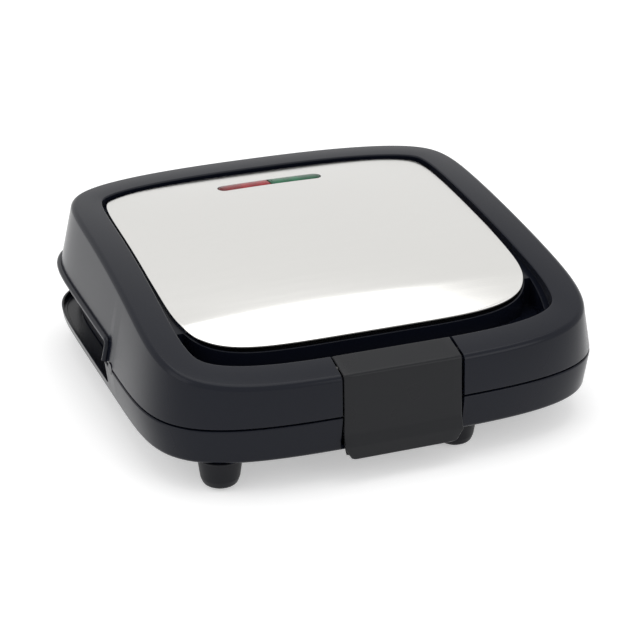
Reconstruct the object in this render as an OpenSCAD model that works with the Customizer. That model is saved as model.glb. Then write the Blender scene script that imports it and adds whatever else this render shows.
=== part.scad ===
// Two-waffle maker with a hinged lid, a steel lid cover and a front latch clip.
// Origin: on the table, under the middle of the closed appliance. Front is -Y, up is +Z.

/* [Housings] */
// Width of both housings at the parting line
body_w = 250; // [244:1:262]
// From the widest line forward to the front wall
front_reach = 112; // [111:0.5:116]
// From the widest line back to the rear wall
rear_reach = 136; // [135:0.5:142]
// Height of the feet, table to base
foot_h = 17; // [15:0.5:20]
// Height of the base, its underside to the parting line
base_h = 20; // [20:0.5:22]
// Height of the lid's rim above the parting line, at the widest line
lid_h = 41; // [40.5:0.5:44]
// Rise of the rim toward the rear, mm per mm
rim_slope = 0.112; // [0.104:0.002:0.12]
// Thickness of the moulded walls
wall = 2.6; // [2.2:0.1:2.8]
// Groove between base and lid
parting_gap = 0.8; // [0.6:0.1:1.2]

/* [Rim and finger well] */
// Width of the flat rim around the steel cover
rim_w = 17; // [16.5:0.25:17.5]
// Radius of the rim's outer edge
rim_edge_r = 2.6; // [2:0.2:4.4]
// Height of the finger well's floor above the parting line
well_up = 13; // [12:0.5:15]

/* [Side recesses] */
// Front end of each side recess, forward of the widest line
recess_front = 9; // [0:0.5:16]
// Rear end of each side recess, behind the widest line
recess_rear = 119; // [108:0.5:120]
// Height of the recess in the lid
recess_up = 10; // [8:0.25:11]
// Depth of the recess in the base
recess_down = 14; // [11:0.25:14.5]
// How far the recesses reach in from the side
recess_in = 13; // [11:0.25:16]
// How far the lip over each recess stands proud
lip_out = 2.4; // [1:0.1:3]

/* [Steel cover] */
// Thickness of the sheet
sheet_t = 0.8; // [0.6:0.05:1]
// Gap between the sheet's edge and the rim
cover_gap = 1.8; // [1.2:0.1:2.4]
// From the widest line forward to the bend
bend_reach = 48; // [44:0.5:50]
// From the bend forward to the cover's front edge
slope_reach = 23; // [21:0.5:24]
// Drop of the cover's front edge below the rim
slope_drop = 6; // [4:0.25:7]
// Height of the crown over the sheet's edge
cover_crown = 5.2; // [3:0.1:6]

/* [Indicator] */
// Length of the indicator window
window_l = 61; // [50:1:70]
// Width of the indicator window
window_w = 8; // [6:0.25:9]
// Place of the window behind the widest line
window_reach = 83; // [78:0.5:86]

/* [Latch] */
// Width of the latch clip
latch_w = 64; // [56:1:68]
// Thickness of the clip
latch_t = 3; // [2.6:0.1:3.2]
// Radius of the clip's hinge barrel
latch_barrel_r = 4; // [3.6:0.1:4.2]
// Radius of the latch pin
latch_pin_r = 1.5; // [1.2:0.05:1.7]
// Height of the clip's lower edge above the table
latch_low = 13.2; // [12.6:0.1:13.6]

/* [Plates] */
// Width of the cooking plates
plate_w = 200; // [192:1:204]
// Depth of the cooking plates, front to rear
plate_d = 146; // [140:1:150]
// Place of the plates' middle, behind the widest line
plate_y = 16; // [14:0.5:18]
// Corner radius of the plates
plate_r = 12; // [8:0.5:15]
// Thickness of the plates' flange
flange_t = 2.6; // [2.2:0.1:2.8]
// Thickness of the plates' floor
web_t = 2.3; // [2:0.1:2.4]
// Depth of each waffle cavity
cavity_depth = 9.6; // [9:0.1:9.8]
// Height of the grid's pegs
peg_h = 6.4; // [5:0.2:6.8]
// Pegs across one waffle
pegs_across = 4; // [3:1:5]
// Pegs from front to rear
pegs_along = 5; // [4:1:6]

/* [Heating] */
// Radius of the heating element's tube
element_r = 2.8; // [2.4:0.05:2.85]
// Thickness of the reflector trays
tray_t = 0.6; // [0.5:0.05:0.7]

/* [Hinge] */
// Radius of the hinge barrels
barrel_r = 4.5; // [4:0.1:4.8]
// Radius of the hinge pins
hinge_pin_r = 2; // [1.6:0.05:2.2]
// Place of each hinge from the middle
hinge_x = 44; // [40:1:48]
// Length of the middle barrel, on the base
barrel_l = 18; // [14:0.5:20]

/* [Feet] */
// Radius of a foot at its top
foot_top_r = 12; // [11:0.2:12.4]
// Radius of a foot near the table
foot_low_r = 9.4; // [8:0.2:10.2]
// Place of the left feet, from the middle
foot_left = 90; // [84:1:91]
// Place of the right front foot, from the middle
foot_right = 38; // [34:1:90]
// From the widest line forward to the front feet
foot_front = 90.5; // [86:0.5:91.5]
// From the widest line back to the rear feet
foot_rear = 78; // [60:1:84]

/* [Hidden] */
$fn = 48;
seat = 0.3;                        // clearance of a piece on its seat
run = 0.05;                        // radial clearance of a pin that turns
stations = 8;                      // outline steps from a side's middle to a corner's middle
front_n = [3.7, 5.8];              // squareness of the front corners, across and along
rear_n = [2.4, 8];                 // squareness of the rear corners
drafts = [0.06, 0.21];             // lean of the lid's front wall, and of its other walls
rim_curve = 0.00057;               // curve of the rim from front to rear, per mm squared
base_lean = 2.2;                   // inward lean of the base's wall over its height
base_edge_r = 2.6;                 // radius of the base's bottom edge
bevel = 0.7;                       // bevel along the parting line
cover_edge = 2.3;                  // the cover's edge lies this far below the rim
cover_skirt = 2.7;                 // height of the cover's turned-down edge
cover_n = 5.2;                     // squareness of the cover's front corners

half_w = body_w / 2;
parting = foot_h + base_h;
base_top = parting - parting_gap / 2;
lid_low = parting + parting_gap / 2;
floor_top = foot_h + wall;
deck_t = 2.2;                      // thickness of the frames that carry the plates
mate = base_top + flange_t + 0.15; // plane between the two plates
lower_rim = mate - 0.15;           // top of the lower plate's flange
lower_web = lower_rim - cavity_depth - web_t;
upper_rim = mate + 0.15;
upper_web = upper_rim + cavity_depth + web_t;
upper_deck = upper_rim + flange_t;
well_floor = parting + well_up;

// Hinge and latch places, measured from the widest line
hinge_y = rear_reach + 0.6;
hinge_z = parting + 0.2;
latch_front = front_reach + 2.5;
latch_y = -(front_reach - 13);
latch_z = rim_z(latch_y) - latch_barrel_r - 0.1;
slot_w = latch_w + 2;
knuckle_l = 7;                     // length of each lid barrel
lug_gap = 0.4;                     // end clearance between barrels

// The widest line lies this far from the appliance's middle
mid_y = (latch_front - hinge_y - barrel_r) / 2;

plastic = "#30343a";
plastic_low = "#26282e";
clip = "#424347";
steel = "#d5d4d0";
coated = "#2b2b2d";
bright = "#b9bbbd";

// ---- Outline of the housings ----

// Height of the rim at a place y from the widest line
function rim_z(y) = parting + lid_h + rim_slope * y - rim_curve * y * y;

// A point of one quarter of a squarish oval: u runs 0 to 2, from the side to the end
function oval_pt(u, a, b, n) =
    let (xc = a * pow(0.5, 1 / n.x), yc = b * pow(0.5, 1 / n.y))
    u <= 1
        ? let (y = yc * sin(90 * u)) [a * pow(1 - pow(y / b, n.y), 1 / n.x), y]
        : let (x = xc * cos(90 * (u - 1))) [x, b * pow(1 - pow(x / a, n.x), 1 / n.y)];

// A closed outline with its own front and rear halves, from +X counter-clockwise
function oval(a, front, rear, nf, nr) = [
    for (j = [0 : 8 * stations - 1])
        let (q = floor(j / (2 * stations)), s = (j % (2 * stations)) / stations,
             p = oval_pt(q % 2 == 0 ? s : 2 - s, a, q < 2 ? rear : front, q < 2 ? nr : nf))
        [q == 0 || q == 3 ? p.x : -p.x, q < 2 ? p.y : -p.y]
];

outline = oval(half_w, front_reach, rear_reach, front_n, rear_n);

function side_normal(p) =
    let (b = p.y < 0 ? front_reach : rear_reach, n = p.y < 0 ? front_n : rear_n,
         g = [n.x / half_w * pow(abs(p.x) / half_w, n.x - 1) * sign(p.x),
              n.y / b * pow(abs(p.y) / b, n.y - 1) * sign(p.y)])
    g / norm(g);

normals = [for (p = outline) side_normal(p)];

// Lean of the lid's wall at each point of the outline
leans = [for (n = normals) n.y < 0 ? drafts[0] * n.y * n.y + drafts[1] * n.x * n.x : drafts[1]];

last = len(outline) - 1;

// The outline moved inward by d
function inset(d) = [for (j = [0 : last]) outline[j] - normals[j] * d];

// The lid's wall line at height z, moved inward by d
function lid_inset(z, d) = [for (j = [0 : last]) outline[j] - normals[j] * (leans[j] * (z - parting) + d)];

// A ring of the lid at height rim - down, moved inward by d from its wall
function rim_ring(down, d) = [
    for (j = [0 : last])
        let (z = rim_z(outline[j].y) - down,
             p = outline[j] - normals[j] * (leans[j] * (z - parting) + d))
        [p.x, p.y, rim_z(p.y) - down]
];

function ring_at(points, z) = [for (p = points) [p.x, p.y, z]];

// Closed solid through rings of equal length; both ends close with strips across X
module loft(rings) {
    n = len(rings[0]);
    q = n / 4;
    top = (len(rings) - 1) * n;
    function mirrored(j) = (2 * q - j + n) % n;
    walls = [
        for (i = [0 : len(rings) - 2], j = [0 : n - 1])
            let (a = i * n + j, b = i * n + (j + 1) % n)
            each [[a, a + n, b + n], [a, b + n, b]]
    ];
    strips = [
        for (s = [-q : q - 1])
            let (j = (s + n) % n, k = (s + 1 + n) % n, mj = mirrored(j), mk = mirrored(k))
            each [if (mj != j) [j, mj, mk], if (mk != k) [j, mk, k]]
    ];
    ends = [for (f = strips) each [[f[2], f[1], f[0]], f + [top, top, top]]];
    polyhedron([for (r = rings) each r], concat(walls, ends));
}

// Upright prism over the outline moved inward by d
module prism(d, z0, z1) {
    translate([0, 0, z0]) linear_extrude(z1 - z0) polygon(inset(d));
}

// ---- Shapes used again ----

module placed() {
    translate([0, mid_y, 0]) children();
}

module both_sides() {
    children();
    mirror([1, 0, 0]) children();
}

module box(x0, x1, y0, y1, z0, z1) {
    translate([x0, y0, z0]) cube([x1 - x0, y1 - y0, z1 - z0]);
}

module post(x, y, z0, z1, r) {
    translate([x, y, z0]) cylinder(r = r, h = z1 - z0);
}

// Bar along X through [y, z]
module bar(x0, x1, y, z, r) {
    translate([x0, y, z]) rotate([0, 90, 0]) cylinder(r = r, h = x1 - x0);
}

// Solid whose section in [y, z] runs along X
module across(x0, x1) {
    translate([x0, 0, 0]) rotate([90, 0, 90]) linear_extrude(x1 - x0) children();
}

// Rectangle with round corners, centred
module round_rect(w, d, r) {
    square([w - 2 * r, d], center = true);
    square([w, d - 2 * r], center = true);
    for (x = [-1, 1], y = [-1, 1]) translate([x * (w / 2 - r), y * (d / 2 - r)]) circle(r);
}

// Stadium along X, centred
module stadium(l, w) {
    square([l - w, w], center = true);
    for (s = [-1, 1]) translate([s * (l - w) / 2, 0]) circle(d = w);
}

// Square block that narrows upward
module tapered(w, d, h, taper) {
    points = [
        for (k = [0, 1], c = [[-1, -1], [1, -1], [1, 1], [-1, 1]])
            [c.x * (w / 2 - k * taper), c.y * (d / 2 - k * taper), k * h]
    ];
    sides = [for (i = [0 : 3]) [i, i + 4, (i + 1) % 4 + 4, (i + 1) % 4]];
    polyhedron(points, concat([[0, 1, 2, 3], [7, 6, 5, 4]], sides));
}

// Arc points that round the corner b of a-b-c
function corner(a, b, c, r, n = 6) =
    let (u = (a - b) / norm(a - b), v = (c - b) / norm(c - b), half = acos(u * v) / 2,
         m = b + (u + v) / norm(u + v) * r / sin(half),
         p = b + u * r / tan(half) - m, q = b + v * r / tan(half) - m,
         a0 = atan2(p.y, p.x), turn = atan2(p.x * q.y - p.y * q.x, p * q))
    [for (i = [0 : n]) m + r * [cos(a0 + turn * i / n), sin(a0 + turn * i / n)]];

// Outline through [x, y, radius] corners
function rounded(pts) = [
    for (i = [0 : len(pts) - 1])
        let (n = len(pts), p = pts[i], a = pts[(i + n - 1) % n], c = pts[(i + 1) % n])
        each (p[2] > 0 ? corner([a.x, a.y], [p.x, p.y], [c.x, c.y], p[2]) : [[p.x, p.y]])
];

// Pan-head screw, head down, its seat at z = 0
module screw(r, l, head_r, head_h) {
    cylinder(r = r, h = l);
    translate([0, 0, -head_h]) cylinder(r = head_r, h = head_h);
}

function unit(v) = v / norm(v);

// Directions square to a path at each of its points, carried along without a twist
function carried(tangents, i = 0, u = [0.6, 0.5, 0.62]) =
    i == len(tangents) ? []
        : let (t = tangents[i], w = unit(u - t * (u * t))) [w, each carried(tangents, i + 1, w)];

// Wire through points, swept as a closed tube
module wire(points, r, sides = 8) {
    n = len(points);
    steps = [for (i = [1 : n - 1]) unit(points[i] - points[i - 1])];
    tangents = [for (i = [0 : n - 1]) unit(steps[max(0, i - 1)] + steps[min(n - 2, i)])];
    ups = carried(tangents);
    tube = [
        for (i = [0 : n - 1], k = [0 : sides - 1])
            let (a = 360 * k / sides, v = cross(tangents[i], ups[i]))
            points[i] + r * (ups[i] * cos(a) + v * sin(a))
    ];
    walls = [
        for (i = [0 : n - 2], k = [0 : sides - 1])
            let (a = i * sides + k, b = i * sides + (k + 1) % sides)
            each [[a, a + sides, b + sides], [a, b + sides, b]]
    ];
    start = [for (k = [0 : sides - 1]) k];
    end = [for (k = [sides - 1 : -1 : 0]) (n - 1) * sides + k];
    polyhedron(tube, concat(walls, [start, end]));
}

// ---- Spaces shared by several pieces; grow widens them ----

// Side recesses that leave a finger's room between base and lid
module side_recesses(grow = 0) {
    difference() {
        both_sides()
            box(half_w / 2, half_w + 20, -recess_front - grow, recess_rear + grow,
                parting - recess_down - grow, parting + recess_up + grow);
        prism(recess_in + grow, foot_h - 1, parting + lid_h);
    }
}

// Latch slot down the front: shallow over the base's ledge, deeper above it
module latch_slot(grow = 0) {
    w = slot_w / 2 + grow;
    box(-w, w, -front_reach - 20, latch_y - 7.5 + grow, parting - 2, latch_z);
    box(-w, w, -front_reach - 20, -front_reach + 8.5 + grow, foot_h + 3 - grow, parting + 2);
    box(-w, w, -front_reach - 20, -front_reach + 3, foot_h - 5, parting);
}

// Round pockets for the hinge barrels
module hinge_pockets(grow = 0) {
    l = barrel_l / 2 + knuckle_l + 2 * lug_gap + grow;
    both_sides() bar(hinge_x - l, hinge_x + l, hinge_y, hinge_z, barrel_r + 0.5 + grow);
}

// Places of the screws that hold the decks
post_places = [[half_w - 55, 50 - front_reach], [half_w - 35, rear_reach - 34]];

// Height of the shelf that carries the steel cover
function shelf_z(y) = cover_z(half_w, y) - cover_skirt;

// Height of the steel cover: crowned, with a slope that starts at the bend
function cover_z(x, y) =
    let (a = half_w - drafts[1] * lid_h - rim_w - cover_gap,
         b = y < 0 ? bend_reach + slope_reach : rear_reach - drafts[1] * lid_h - rim_w - cover_gap,
         t = min(1.3, max(0, (-y - bend_reach) / slope_reach)))
    rim_z(y) - cover_edge - (slope_drop - cover_edge) * pow(t, 1.4)
        + cover_crown * max(0, 1 - pow(x / a, 2)) * max(0, 1 - pow(y / b, 4));

// Edge of the cover's shelf, at the foot of the rim's inner wall
function shelf_ring(grow = 0) = [
    for (p = rim_ring(cover_edge + cover_skirt + grow, rim_w - grow)) [p.x, p.y, shelf_z(p.y) - grow]
];

// Finger well in front of the cover and round its front corners
module finger_well(grow = 0) {
    inner = rim_w + 0.5 - grow;
    difference() {
        intersection() {
            loft([ring_at(lid_inset(parting + lid_h, inner), well_floor - grow), rim_ring(-10, inner)]);
            box(-body_w, body_w, -front_reach, -bend_reach - 2 + grow, parting, parting + 2 * lid_h);
        }
        translate([0, 0, parting]) linear_extrude(2 * lid_h) polygon(cover_line(grow - 0.5));
    }
}

// Shell rings: the wall's bevel, the lean wall, the round edge, the rim and the shelf within it
function lid_shell() = [
    ring_at(inset(bevel), lid_low),
    ring_at(lid_inset(lid_low + bevel, 0), lid_low + bevel),
    for (t = [0 : 30 : 90]) rim_ring(rim_edge_r * (1 - sin(t)), rim_edge_r * (1 - cos(t))),
    rim_ring(0, rim_w),
    shelf_ring()
];

function base_shell() = [
    for (t = [0 : 45 : 90])
        ring_at(inset(base_lean + base_edge_r * (1 - sin(t))), foot_h + base_edge_r * (1 - cos(t))),
    ring_at(inset(0), base_top - bevel),
    ring_at(inset(bevel), base_top)
];

// Boss that tapers from its root to its tip
module boss(x, y, low, high, r_low, r_high) {
    hull() {
        post(x, y, low, low + 0.1, r_low, $fn = 24);
        post(x, y, high - 0.1, high, r_high, $fn = 24);
    }
}

// ---- Base ----

lower_tray = floor_top + 0.5;      // underside of the lower heat tray
tab_r = 3;                         // round tab of the base at each recess's front end
tab_y = -recess_front - 10;
lug_half = barrel_l / 2 + lug_gap;
leg_y = hinge_y - 8.8;             // rear face of the base lugs' legs
lid_leg_y = hinge_y - 12.4;        // rear face of the lid lugs' leg plates
base_leg_z = floor_top + 7;        // height of the screws in the legs
lid_leg_z = upper_deck + 9;
inlet_z = foot_h + base_h / 2;     // height of the cord's inlet
inlet_w = 10;                      // width of the inlet block in its slot

module base_housing() {
    placed() color(plastic_low) difference() {
        union() {
            difference() {
                loft(base_shell());
                difference() {
                    loft([
                        ring_at(inset(base_lean + wall), floor_top),
                        ring_at(inset(wall), base_top - bevel),
                        ring_at(inset(wall), parting + 1)
                    ]);
                    side_recesses(wall);
                    latch_slot(wall);
                    hinge_pockets(wall);
                    both_sides() box(hinge_x - 12, hinge_x + 12, leg_y, rear_reach, foot_h, parting - 5);
                }
            }
            // Bosses for the deck's screws, and pads under the reflector
            both_sides() for (p = post_places) {
                boss(p.x, p.y, floor_top - 1, base_top - deck_t, 5.6, 4.6);
            }
            both_sides() for (y = [-1, 1])
                boss(plate_w / 4 + 10, plate_y + y * 40, floor_top - 1, lower_tray, 5, 4);
            intersection() {
                both_sides() bar(half_w / 2, half_w + 1, tab_y, base_top, tab_r);
                difference() {
                    prism(0.1, foot_h, parting + lid_h);
                    prism(wall - 0.3, foot_h, parting + lid_h);
                }
            }
        }
        side_recesses();
        // Trough behind the recess's thin edge
        difference() {
            intersection() {
                both_sides() box(half_w / 2, half_w, -recess_front, recess_rear, floor_top + 0.6, parting);
                prism(wall + 0.2, foot_h, parting);
            }
            prism(recess_in - 0.1, foot_h - 1, parting + 1);
        }
        latch_slot();
        hinge_pockets();
        both_sides() {
            box(hinge_x - lug_half, hinge_x + lug_half, leg_y - 0.3, hinge_y, hinge_z - barrel_r - seat,
                parting);
            bar_y(hinge_x, leg_y - 1, rear_reach - 3, base_leg_z, 1.2);
        }
        // Slot that the cord's inlet block slides into from above
        box(-inlet_w / 2 - seat, inlet_w / 2 + seat, leg_y - 8, rear_reach + 1, floor_top, parting);
        both_sides() for (p = post_places) {
            post(p.x, p.y, foot_h - 1, base_top, 1.4, $fn = 24);
            post(p.x, p.y, foot_h - 1, foot_h + 4, 3.4, $fn = 24);
        }
    }
}

// Bar along Y through [x, z]
module bar_y(x, y0, y1, z, r) {
    translate([x, y0, z]) rotate([-90, 0, 0]) cylinder(r = r, h = y1 - y0);
}

cavity_w = plate_w / 2 - 8;        // width of one waffle
cavity_d = plate_d - 26;           // depth of one waffle
cavity_x = plate_w / 4 + 0.2;      // middle of one waffle
cavity_draft = 3;
body_r = 8;                        // corner radius of the plates' bodies
body_side = 1.5;                   // a body's wall beside its cavity, at the mouth
body_end = 2;

// Frame that fills a housing's outline around its plate
module deck(line, z, hole_r) {
    difference() {
        translate([0, 0, z]) linear_extrude(deck_t) polygon(line);
        side_recesses(wall + seat);
        latch_slot(wall + seat);
        hinge_pockets(wall + seat);
        both_sides() box(hinge_x - 19, hinge_x + 19, lid_leg_y - 3.6, rear_reach, foot_h, 2 * parting);
        box(-8, 8, leg_y - 6, rear_reach, foot_h, 2 * parting);
        // Room for the latch bracket
        box(-bracket_w - 9, bracket_w + 9, -front_reach, latch_y + 4.2, upper_deck - 1, 2 * parting);
        translate([0, plate_y, z - 1]) linear_extrude(deck_t + 2)
            round_rect(2 * (cavity_x + body_side + 0.6) + cavity_w, cavity_d + 2 * body_end + 1.2, body_r);
        for (p = plate_screw_places) post(p.x, p.y, z - 1, z + deck_t + 1, hole_r);
        both_sides() for (p = post_places) post(p.x, p.y, z - 1, z + deck_t + 1, 1.5);
    }
}

plate_boss_r = 3.4;
plate_screw_places = [
    for (x = [-1, 1], y = [-1, 1]) [x * (plate_w / 2 - 40), plate_y + y * (plate_d / 2 - 5.5)]
];

module base_deck() {
    placed() color(coated) deck(inset(wall + 0.6), base_top - deck_t, plate_boss_r + seat);
}

// Lower cooking plate at z = 0 on its flange's top, cavities down
module plate() {
    difference() {
        union() {
            translate([0, 0, -flange_t]) linear_extrude(flange_t) round_rect(plate_w, plate_d, plate_r);
            translate([0, 0, -cavity_depth - web_t]) linear_extrude(cavity_depth + web_t - 1)
                both_sides() translate([cavity_x, 0])
                    round_rect(cavity_w + 2 * body_side, cavity_d + 2 * body_end, body_r);
            for (p = plate_screw_places) post(p.x, p.y - plate_y, -flange_t - deck_t, -1, plate_boss_r);
        }
        both_sides() translate([cavity_x, 0, -cavity_depth]) intersection() {
            translate([0, 0, cavity_depth + 2]) mirror([0, 0, 1])
                tapered(cavity_w + 1, cavity_d + 1, cavity_depth + 2, cavity_draft);
            linear_extrude(cavity_depth + 3) round_rect(cavity_w, cavity_d, 9);
        }
        for (p = plate_screw_places) post(p.x, p.y - plate_y, -flange_t - deck_t - 1, -1, 1.3);
    }
    pitch_x = (cavity_w - 4) / pegs_across;
    pitch_y = (cavity_d - 4) / pegs_along;
    for (s = [-1, 1], i = [0 : pegs_across - 1], j = [0 : pegs_along - 1])
        translate([s * cavity_x + (i - (pegs_across - 1) / 2) * pitch_x, (j - (pegs_along - 1) / 2) * pitch_y,
                   -cavity_depth - 0.5])
            tapered(pitch_x - 6, pitch_y - 6, peg_h + 0.5, 2);
}

module lower_plate() {
    placed() color(coated) translate([0, plate_y, lower_rim]) plate();
}

module upper_plate() {
    placed() color(coated) translate([0, plate_y, upper_rim]) mirror([0, 0, 1]) plate();
}

// Open loop of heating tube with its terminals turned inward at the rear
loop_w = plate_w - 60;
loop_d = plate_d - 62;
bend_r = 16;

module element_loop() {
    w = loop_w / 2;
    d = loop_d / 2;
    both_sides() {
        bar_y(w, -d + bend_r, d - bend_r, 0, element_r);
        bar(0, w - bend_r, -d, 0, element_r);
        bar(12, w - bend_r, d, 0, element_r);
        bar(4, 12.5, d, 0, element_r / 2);
        for (a = [0, 270])
            translate([w - bend_r, (a == 0 ? 1 : -1) * (d - bend_r), 0]) rotate([0, 0, a])
                rotate_extrude(angle = 90) translate([bend_r, 0]) circle(element_r);
    }
}

module lower_element() {
    placed() color(bright) translate([0, plate_y, lower_web - element_r]) element_loop();
}

module upper_element() {
    placed() color(bright) translate([0, plate_y, upper_web + element_r]) element_loop();
}

// Strap over the tube, with a foot on each side
module strap() {
    h = 2 * element_r + 0.85;
    for (s = [-1, 1]) {
        box(-4, 4, s * (element_r + 4) - 3, s * (element_r + 4) + 3, 0, 0.8);
        box(-4, 4, s * (element_r + 1) - 0.5, s * (element_r + 1) + 0.5, 0, h);
    }
    box(-4, 4, -element_r - 1.5, element_r + 1.5, h - 0.8, h);
}

module straps() {
    both_sides() for (y = [-1, 1])
        translate([loop_w / 4, y * loop_d / 2, 0]) strap();
}

module lower_element_clamps() {
    placed() color(steel) translate([0, plate_y, lower_web]) mirror([0, 0, 1]) straps();
}

module upper_element_clamps() {
    placed() color(steel) translate([0, plate_y, upper_web]) straps();
}

// Shallow heat tray with turned edges
module tray() {
    difference() {
        linear_extrude(3) round_rect(plate_w - 44, plate_d - 40, 10);
        translate([0, 0, tray_t]) linear_extrude(4)
            round_rect(plate_w - 44 - 2 * tray_t, plate_d - 40 - 2 * tray_t, 10 - tray_t);
    }
}

module lower_reflector() {
    placed() color(bright) translate([0, plate_y, lower_tray]) tray();
}

upper_tray = upper_web + 2 * element_r + 1.1 + tray_t;

module upper_reflector() {
    placed() color(bright) translate([0, plate_y, upper_tray]) mirror([0, 0, 1]) tray();
}

module lower_plate_screws() {
    placed() color(bright) for (p = plate_screw_places)
        translate([p.x, p.y, base_top - deck_t]) screw(1.25, 3.6, 4.6, 2);
}

module upper_plate_screws() {
    placed() color(bright) for (p = plate_screw_places)
        translate([p.x, p.y, upper_deck + deck_t]) mirror([0, 0, 1]) screw(1.25, 3.6, 4.6, 2);
}

// Fuse in a sleeve, clipped under the lower plate
module thermal_fuse() {
    placed() color("white") {
        bar(-58, -42, plate_y, lower_web - 2.2, 2.2);
        bar(-64, -36, plate_y, lower_web - 2.2, 0.5);
    }
}

// Snap-disc thermostat on the back of the upper plate
module thermostat() {
    placed() color("tan") translate([46, plate_y + 8, upper_web]) {
        cylinder(r = 8.5, h = 3.4);
        cylinder(r = 7, h = 5);
        for (x = [-4, 4]) translate([x - 1.6, -13, 2]) cube([3.2, 8, 0.8]);
    }
}

block_x = 41;
block_y = 106;

module terminal_block() {
    placed() color("white") difference() {
        box(block_x - 11, block_x + 11, block_y - 6, block_y + 6, floor_top, floor_top + 9);
        for (x = [-7, 0, 7]) post(block_x + x, block_y, floor_top + 5, floor_top + 10, 1.8);
    }
}

// Block with a flange on each side of the rear wall, and the cord's bore through it
module cord_inlet() {
    w = inlet_w / 2;
    low = floor_top + seat;
    placed() color(plastic_low) difference() {
        union() {
            box(-w, w, rear_reach - 10, rear_reach + 3.6, low, base_top);
            box(-w - 1.8, w + 1.8, rear_reach + 0.2, rear_reach + 3.6, low, base_top);
            box(-w - 1.8, w + 1.8, rear_reach - 8, rear_reach - 5.2, low, base_top);
        }
        bar_y(0, rear_reach - 11, rear_reach + 5, inlet_z, 3);
    }
}

pin_y = plate_y + loop_d / 2 + element_r / 2 + 0.25;  // place of the leads' ends at the element
lower_pin_z = lower_web - element_r;
upper_pin_z = upper_web + element_r;
lead_y = leg_y - 3;                // the leads cross the hinge line here

module base_wiring() {
    placed() color("firebrick") {
        wire([[block_x - 7, block_y - 7.2, 24.5], [4, 80, lower_pin_z], [4, pin_y, lower_pin_z]], 1);
        wire([[block_x - 12.2, block_y + 2, 24.5], [-4, 92, lower_pin_z], [-4, pin_y, lower_pin_z]], 1);
        wire([[block_x, block_y + 7.2, 25], [20, 119, inlet_z], [2, rear_reach - 11.5, inlet_z]], 1);
        wire([[block_x + 8, block_y + 7.2, 25], [30, 121, 31], [4, lead_y, 32.5], [4, lead_y, parting]], 1);
    }
}

module lid_wiring() {
    placed() color("firebrick") {
        wire([[4, lead_y, parting + 2.4], [4, lead_y, 48], [4, 92, upper_web + 2.2],
              [4, pin_y + 4, upper_web + 2.2], [4, pin_y, upper_pin_z]], 1);
        wire([[-4, pin_y, upper_pin_z], [-4, pin_y + 4, upper_web + 2.2], [-4, 92, upper_web + 2.2],
              [-4, 97, 62], [-12, window_reach + 7.3, holder_z + 1]], 1);
    }
}

foot_places = [
    [-foot_left, -foot_front], [foot_right, -foot_front],
    [-foot_left, foot_rear], [foot_left, foot_rear]
];

module feet() {
    placed() color(plastic_low) for (p = foot_places) translate(p) rotate_extrude()
        polygon(concat([[0, 4], [4.2, 4], [4.2, 1.2]],
            rounded([[foot_low_r - 4.6, 1.2, 0], [foot_low_r - 0.8, 1.2, 3], [foot_low_r + 0.7, 5, 4],
                     [foot_top_r, foot_h, 0], [0, foot_h, 0]])));
}

module foot_pads() {
    placed() color("black") for (p = foot_places) translate(p) {
        cylinder(r = foot_low_r - 4.2, h = 1.2);
        cylinder(r = 4, h = 3.8);
    }
}

module base_screws() {
    placed() color(bright) {
        both_sides() for (p = post_places)
            translate([p.x, p.y, foot_h + 4]) screw(1.3, base_h - 6, 3, 2.4);
        both_sides() translate([hinge_x, leg_y - 3, base_leg_z]) rotate([-90, 0, 0]) screw(1.1, 6, 2.4, 1.4);
    }
}

// Barrel in the middle of each hinge, with a bent leg into the base
module base_hinge_lugs() {
    l = barrel_l / 2;
    arm_low = hinge_z - barrel_r;
    placed() color(bright) difference() {
        both_sides() {
            bar(hinge_x - l, hinge_x + l, hinge_y, hinge_z, barrel_r);
            across(hinge_x - l, hinge_x + l) polygon([
                [hinge_y, arm_low], [hinge_y, base_top - 0.2], [leg_y - 3, base_top - 0.2],
                [leg_y - 3, floor_top], [leg_y, floor_top], [leg_y, arm_low]
            ]);
        }
        both_sides() {
            bar(hinge_x - l - 1, hinge_x + l + 1, hinge_y, hinge_z, hinge_pin_r + 0.02);
            bar_y(hinge_x, leg_y - 4, leg_y + 1, base_leg_z, 1.2);
        }
    }
}

// Two barrels of each hinge, joined by a plate behind the lid's rear wall
module lid_hinge_lugs() {
    x0 = barrel_l / 2 + lug_gap;
    x1 = x0 + knuckle_l;
    arm_top = hinge_z + barrel_r - seat;
    placed() color(bright) difference() {
        both_sides() for (s = [0, 1]) translate([hinge_x, 0, 0]) mirror([s, 0, 0]) {
            bar(x0, x1, hinge_y, hinge_z, barrel_r);
            across(x0, x1) polygon([
                [hinge_y, parting + 1], [hinge_y, arm_top], [lid_leg_y, arm_top],
                [lid_leg_y, parting + 1]
            ]);
            across(-0.01, x1) polygon([
                [lid_leg_y, parting + 1], [lid_leg_y, lid_leg_z + 5],
                [lid_leg_y - 3, lid_leg_z + 5], [lid_leg_y - 3, parting + 1]
            ]);
        }
        both_sides() {
            bar(hinge_x - x1 - 1, hinge_x + x1 + 1, hinge_y, hinge_z, hinge_pin_r + run);
            bar_y(hinge_x, lid_leg_y - 4, lid_leg_y + 1, lid_leg_z, 1.2);
        }
    }
}

module hinge_pins() {
    l = barrel_l / 2 + lug_gap + knuckle_l;
    placed() color(steel) both_sides() bar(hinge_x - l, hinge_x + l, hinge_y, hinge_z, hinge_pin_r);
}

// ---- Lid ----

holder_z = shelf_z(window_reach) - wall - 8;          // underside of the lamp holder
bracket_w = slot_w / 2 + 3.2;

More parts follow.
